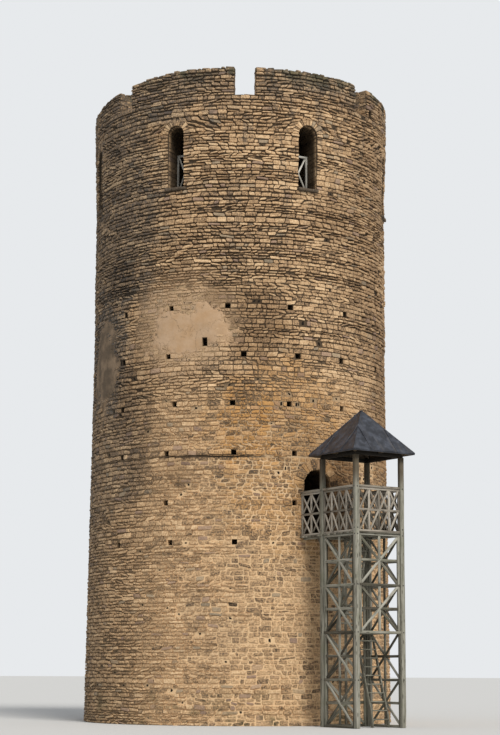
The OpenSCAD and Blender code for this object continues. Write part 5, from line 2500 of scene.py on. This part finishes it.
@dataclass
class Studio:
    """Camera, lights, floor and background of the picture."""

    place: tuple[float, float, float] = (-28.97, -44.62, 1.51)
    heading: float = 33.334
    pitch: float = 9.70
    roll: float = 0.25
    lens: float = 86.547
    sun_light: float = 2.8
    sun_size: float = 24
    sun_turn: tuple[float, float, float] = (45, 0, -8)
    sun_colour: Colour = (1.0, 0.965, 0.91)
    ambient_light: float = 0.5
    ambient_colour: Colour = (0.93, 0.96, 1.0)
    backdrop: Colour = (0.80, 0.82, 0.84)
    floor_r: float = 320
    floor_z: float = -0.003
    floor_colour: Colour = (0.60, 0.60, 0.59)

    def camera(self) -> None:
        """Makes the camera that sees the keep as the photograph does."""
        data = bpy.data.cameras.new("view")
        data.lens, data.sensor_width, data.sensor_fit = self.lens, 36.0, "AUTO"
        data.clip_end = 900.0
        camera = bpy.data.objects.new("view", data)
        bpy.context.scene.collection.objects.link(camera)
        turn, tilt = math.radians(self.heading), math.radians(self.pitch)
        look = Vector((math.sin(turn) * math.cos(tilt), math.cos(turn) * math.cos(tilt), math.sin(tilt)))
        right = look.cross(Vector((0, 0, 1))).normalized()
        up = right.cross(look)
        lean = math.radians(self.roll)
        side = right * math.cos(lean) + up * math.sin(lean)
        top = up * math.cos(lean) - right * math.sin(lean)
        camera.matrix_world = Matrix([(side[k], top[k], -look[k], self.place[k]) for k in range(3)]
                                     + [(0, 0, 0, 1)])
        bpy.context.scene.camera = camera

    def light(self) -> None:
        """Sets one soft sun from the right and an even pale surround."""
        sun = bpy.data.lights.new("key", "SUN")
        sun.energy, sun.angle, sun.color = self.sun_light, math.radians(self.sun_size), self.sun_colour
        lamp = bpy.data.objects.new("key", sun)
        bpy.context.scene.collection.objects.link(lamp)
        lamp.rotation_euler = [math.radians(turn) for turn in self.sun_turn]
        world = bpy.data.worlds.new("surround")
        bpy.context.scene.world = world
        world.use_nodes = True
        tree = world.node_tree
        tree.nodes.clear()
        g = Graph(tree)
        ambient = g.get("Background", {"Color": self.ambient_colour, "Strength": self.ambient_light})
        shown = g.get("Background", {"Color": self.backdrop, "Strength": 1.0})
        path = g.get("LightPath", output="Is Camera Ray")
        mixed = g.get("MixShader", {0: path, 1: ambient, 2: shown})
        tree.links.new(mixed.socket, tree.nodes.new("ShaderNodeOutputWorld").inputs["Surface"])

    def floor(self) -> None:
        """Lays a plain pale floor."""
        mesh = bpy.data.meshes.new("floor")
        turn = np.arange(64) / 64 * 2 * math.pi
        rim = np.stack([np.cos(turn) * self.floor_r, np.sin(turn) * self.floor_r,
                        np.full(64, self.floor_z)], 1)
        mesh.from_pydata(rim.tolist(), [], [list(range(64))])
        floor = bpy.data.objects.new("floor", mesh)
        made = bpy.data.materials.new("floor")
        made.use_nodes = True
        skin = next(n for n in made.node_tree.nodes if n.type == "BSDF_PRINCIPLED")
        skin.inputs["Base Color"].default_value = (*self.floor_colour, 1.0)
        skin.inputs["Roughness"].default_value = 0.95
        mesh.materials.append(made)
        bpy.context.scene.collection.objects.link(floor)
        floor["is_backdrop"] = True

    def build(self) -> None:
        """Sets the whole studio up."""
        self.light()
        self.floor()
        bpy.context.scene.view_settings.view_transform = "Standard"


@dataclass
class Keep:
    """The whole object: the keep with its timber stair tower."""

    nodes: dict[str, bpy.types.Object]
    slots: dict[str, str]
    drum: Drum = field(default_factory=Drum)

    def finishes(self) -> dict[str, Material]:
        """Every material by a short name.

        Returns:
            The materials.
        """
        shop = Workshop()
        old = TimberFinish("old dark timber", (0.040, 0.030, 0.020), (0.115, 0.085, 0.058),
                           (0.21, 0.165, 0.12), (0.085, 0.075, 0.045))
        finishes = {
            "stone": StoneFinish(), "mortar": MortarFinish(), "plaster": PlasterFinish(),
            "paving": PavingFinish(), "roof": SheetFinish(), "old": old,
            "joists": replace(old, name="old dark joists", run=Run.ACROSS),
            "grey": TimberFinish("silver grey timber", (0.060, 0.052, 0.038), (0.195, 0.186, 0.145),
                                 (0.40, 0.385, 0.325), (0.14, 0.15, 0.09)),
            "silver": TimberFinish("silvered laths", (0.050, 0.041, 0.031), (0.205, 0.178, 0.142),
                                   (0.43, 0.385, 0.32), (0.15, 0.145, 0.095)),
            # Barriers painted paler than the other timber: painted light, as they stand in the gallery
            # doors' shade.
            "lit_barriers": TimberFinish("bleached barriers", (0.30, 0.285, 0.25), (0.58, 0.56, 0.50),
                                     (0.78, 0.76, 0.69), (0.50, 0.50, 0.42)),
            # Plates painted near black: painted shade under the eaves.
            "shaded_plates": TimberFinish("sooty plates", (0.010, 0.008, 0.006), (0.028, 0.021, 0.015),
                                  (0.055, 0.043, 0.032), (0.03, 0.026, 0.016),
                                  fresh_wood_and_shade=(0.010, 0.008, 0.005)),
            "iron": SheetFinish("black iron", (0.030, 0.028, 0.027), (0.055, 0.048, 0.042),
                                (0.11, 0.065, 0.04))}
        return {name: finish.material(shop) for name, finish in finishes.items()}

    def dress(self, finish: dict[str, Material]) -> None:
        """Gives the CAD nodes their materials.

        Args:
            finish: The materials by their short names.
        """
        by_slot = {"masonry": "mortar", "paving": "paving", "old_timber": "joists",
                   "grey_timber": "grey", "roof_metal": "roof"}
        for name, node in self.nodes.items():
            node.data.materials.clear()
            node.data.materials.append(finish[by_slot[self.slots[name]]])

    def build(self) -> None:
        """Builds every piece."""
        finish = self.finishes()
        self.dress(finish)
        openings = Openings(self.drum)
        plaster = PlasterPatch(self.drum, openings, finish["plaster"])
        plaster.build()
        OuterFace(self.drum, openings, plaster, finish["stone"]).build()
        Archways(self.drum, openings, finish["stone"]).build()
        Battlements(self.drum, finish["stone"]).build()
        Terrace(self.drum, finish["paving"]).build()
        for k, (node, top, radius) in enumerate((("entrance_floor", 5.15, 2.45),
                                                 ("middle_floor", 10.9, 2.75),
                                                 ("gallery_floor", 15.15, 3.35))):
            BoardFloor(finish["old"], node, top, radius, seed=61 + k).build()
        GalleryTimber(openings, finish["old"], finish["lit_barriers"]).build()
        StairTower(self.drum, finish["grey"], finish["silver"], finish["iron"]).build()
        LandingRoof(finish["shaded_plates"], finish["old"], finish["roof"]).build()


def main() -> None:
    """Builds the scene."""
    logging.basicConfig(level=logging.INFO, format="%(name)s %(message)s")
    studio = Studio()
    studio.camera()
    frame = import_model()
    sizes = {"frame": plain(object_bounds())}
    slots = {part["node"]: part["material_slot"] for part in frame["record"]["subparts"]}
    Keep(frame["nodes"], slots).build()
    studio.build()
    sizes["dressed"] = plain(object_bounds())


def plain(bounds: object) -> object:
    """Bounds as plain lists of rounded numbers.

    Args:
        bounds: Numbers, or lists of them.

    Returns:
        The same in plain lists.
    """
    if hasattr(bounds, "__len__") and not isinstance(bounds, (str, dict)):
        return [plain(part) for part in bounds]
    return round(float(bounds), 4)


if __name__ == "__main__":
    main()
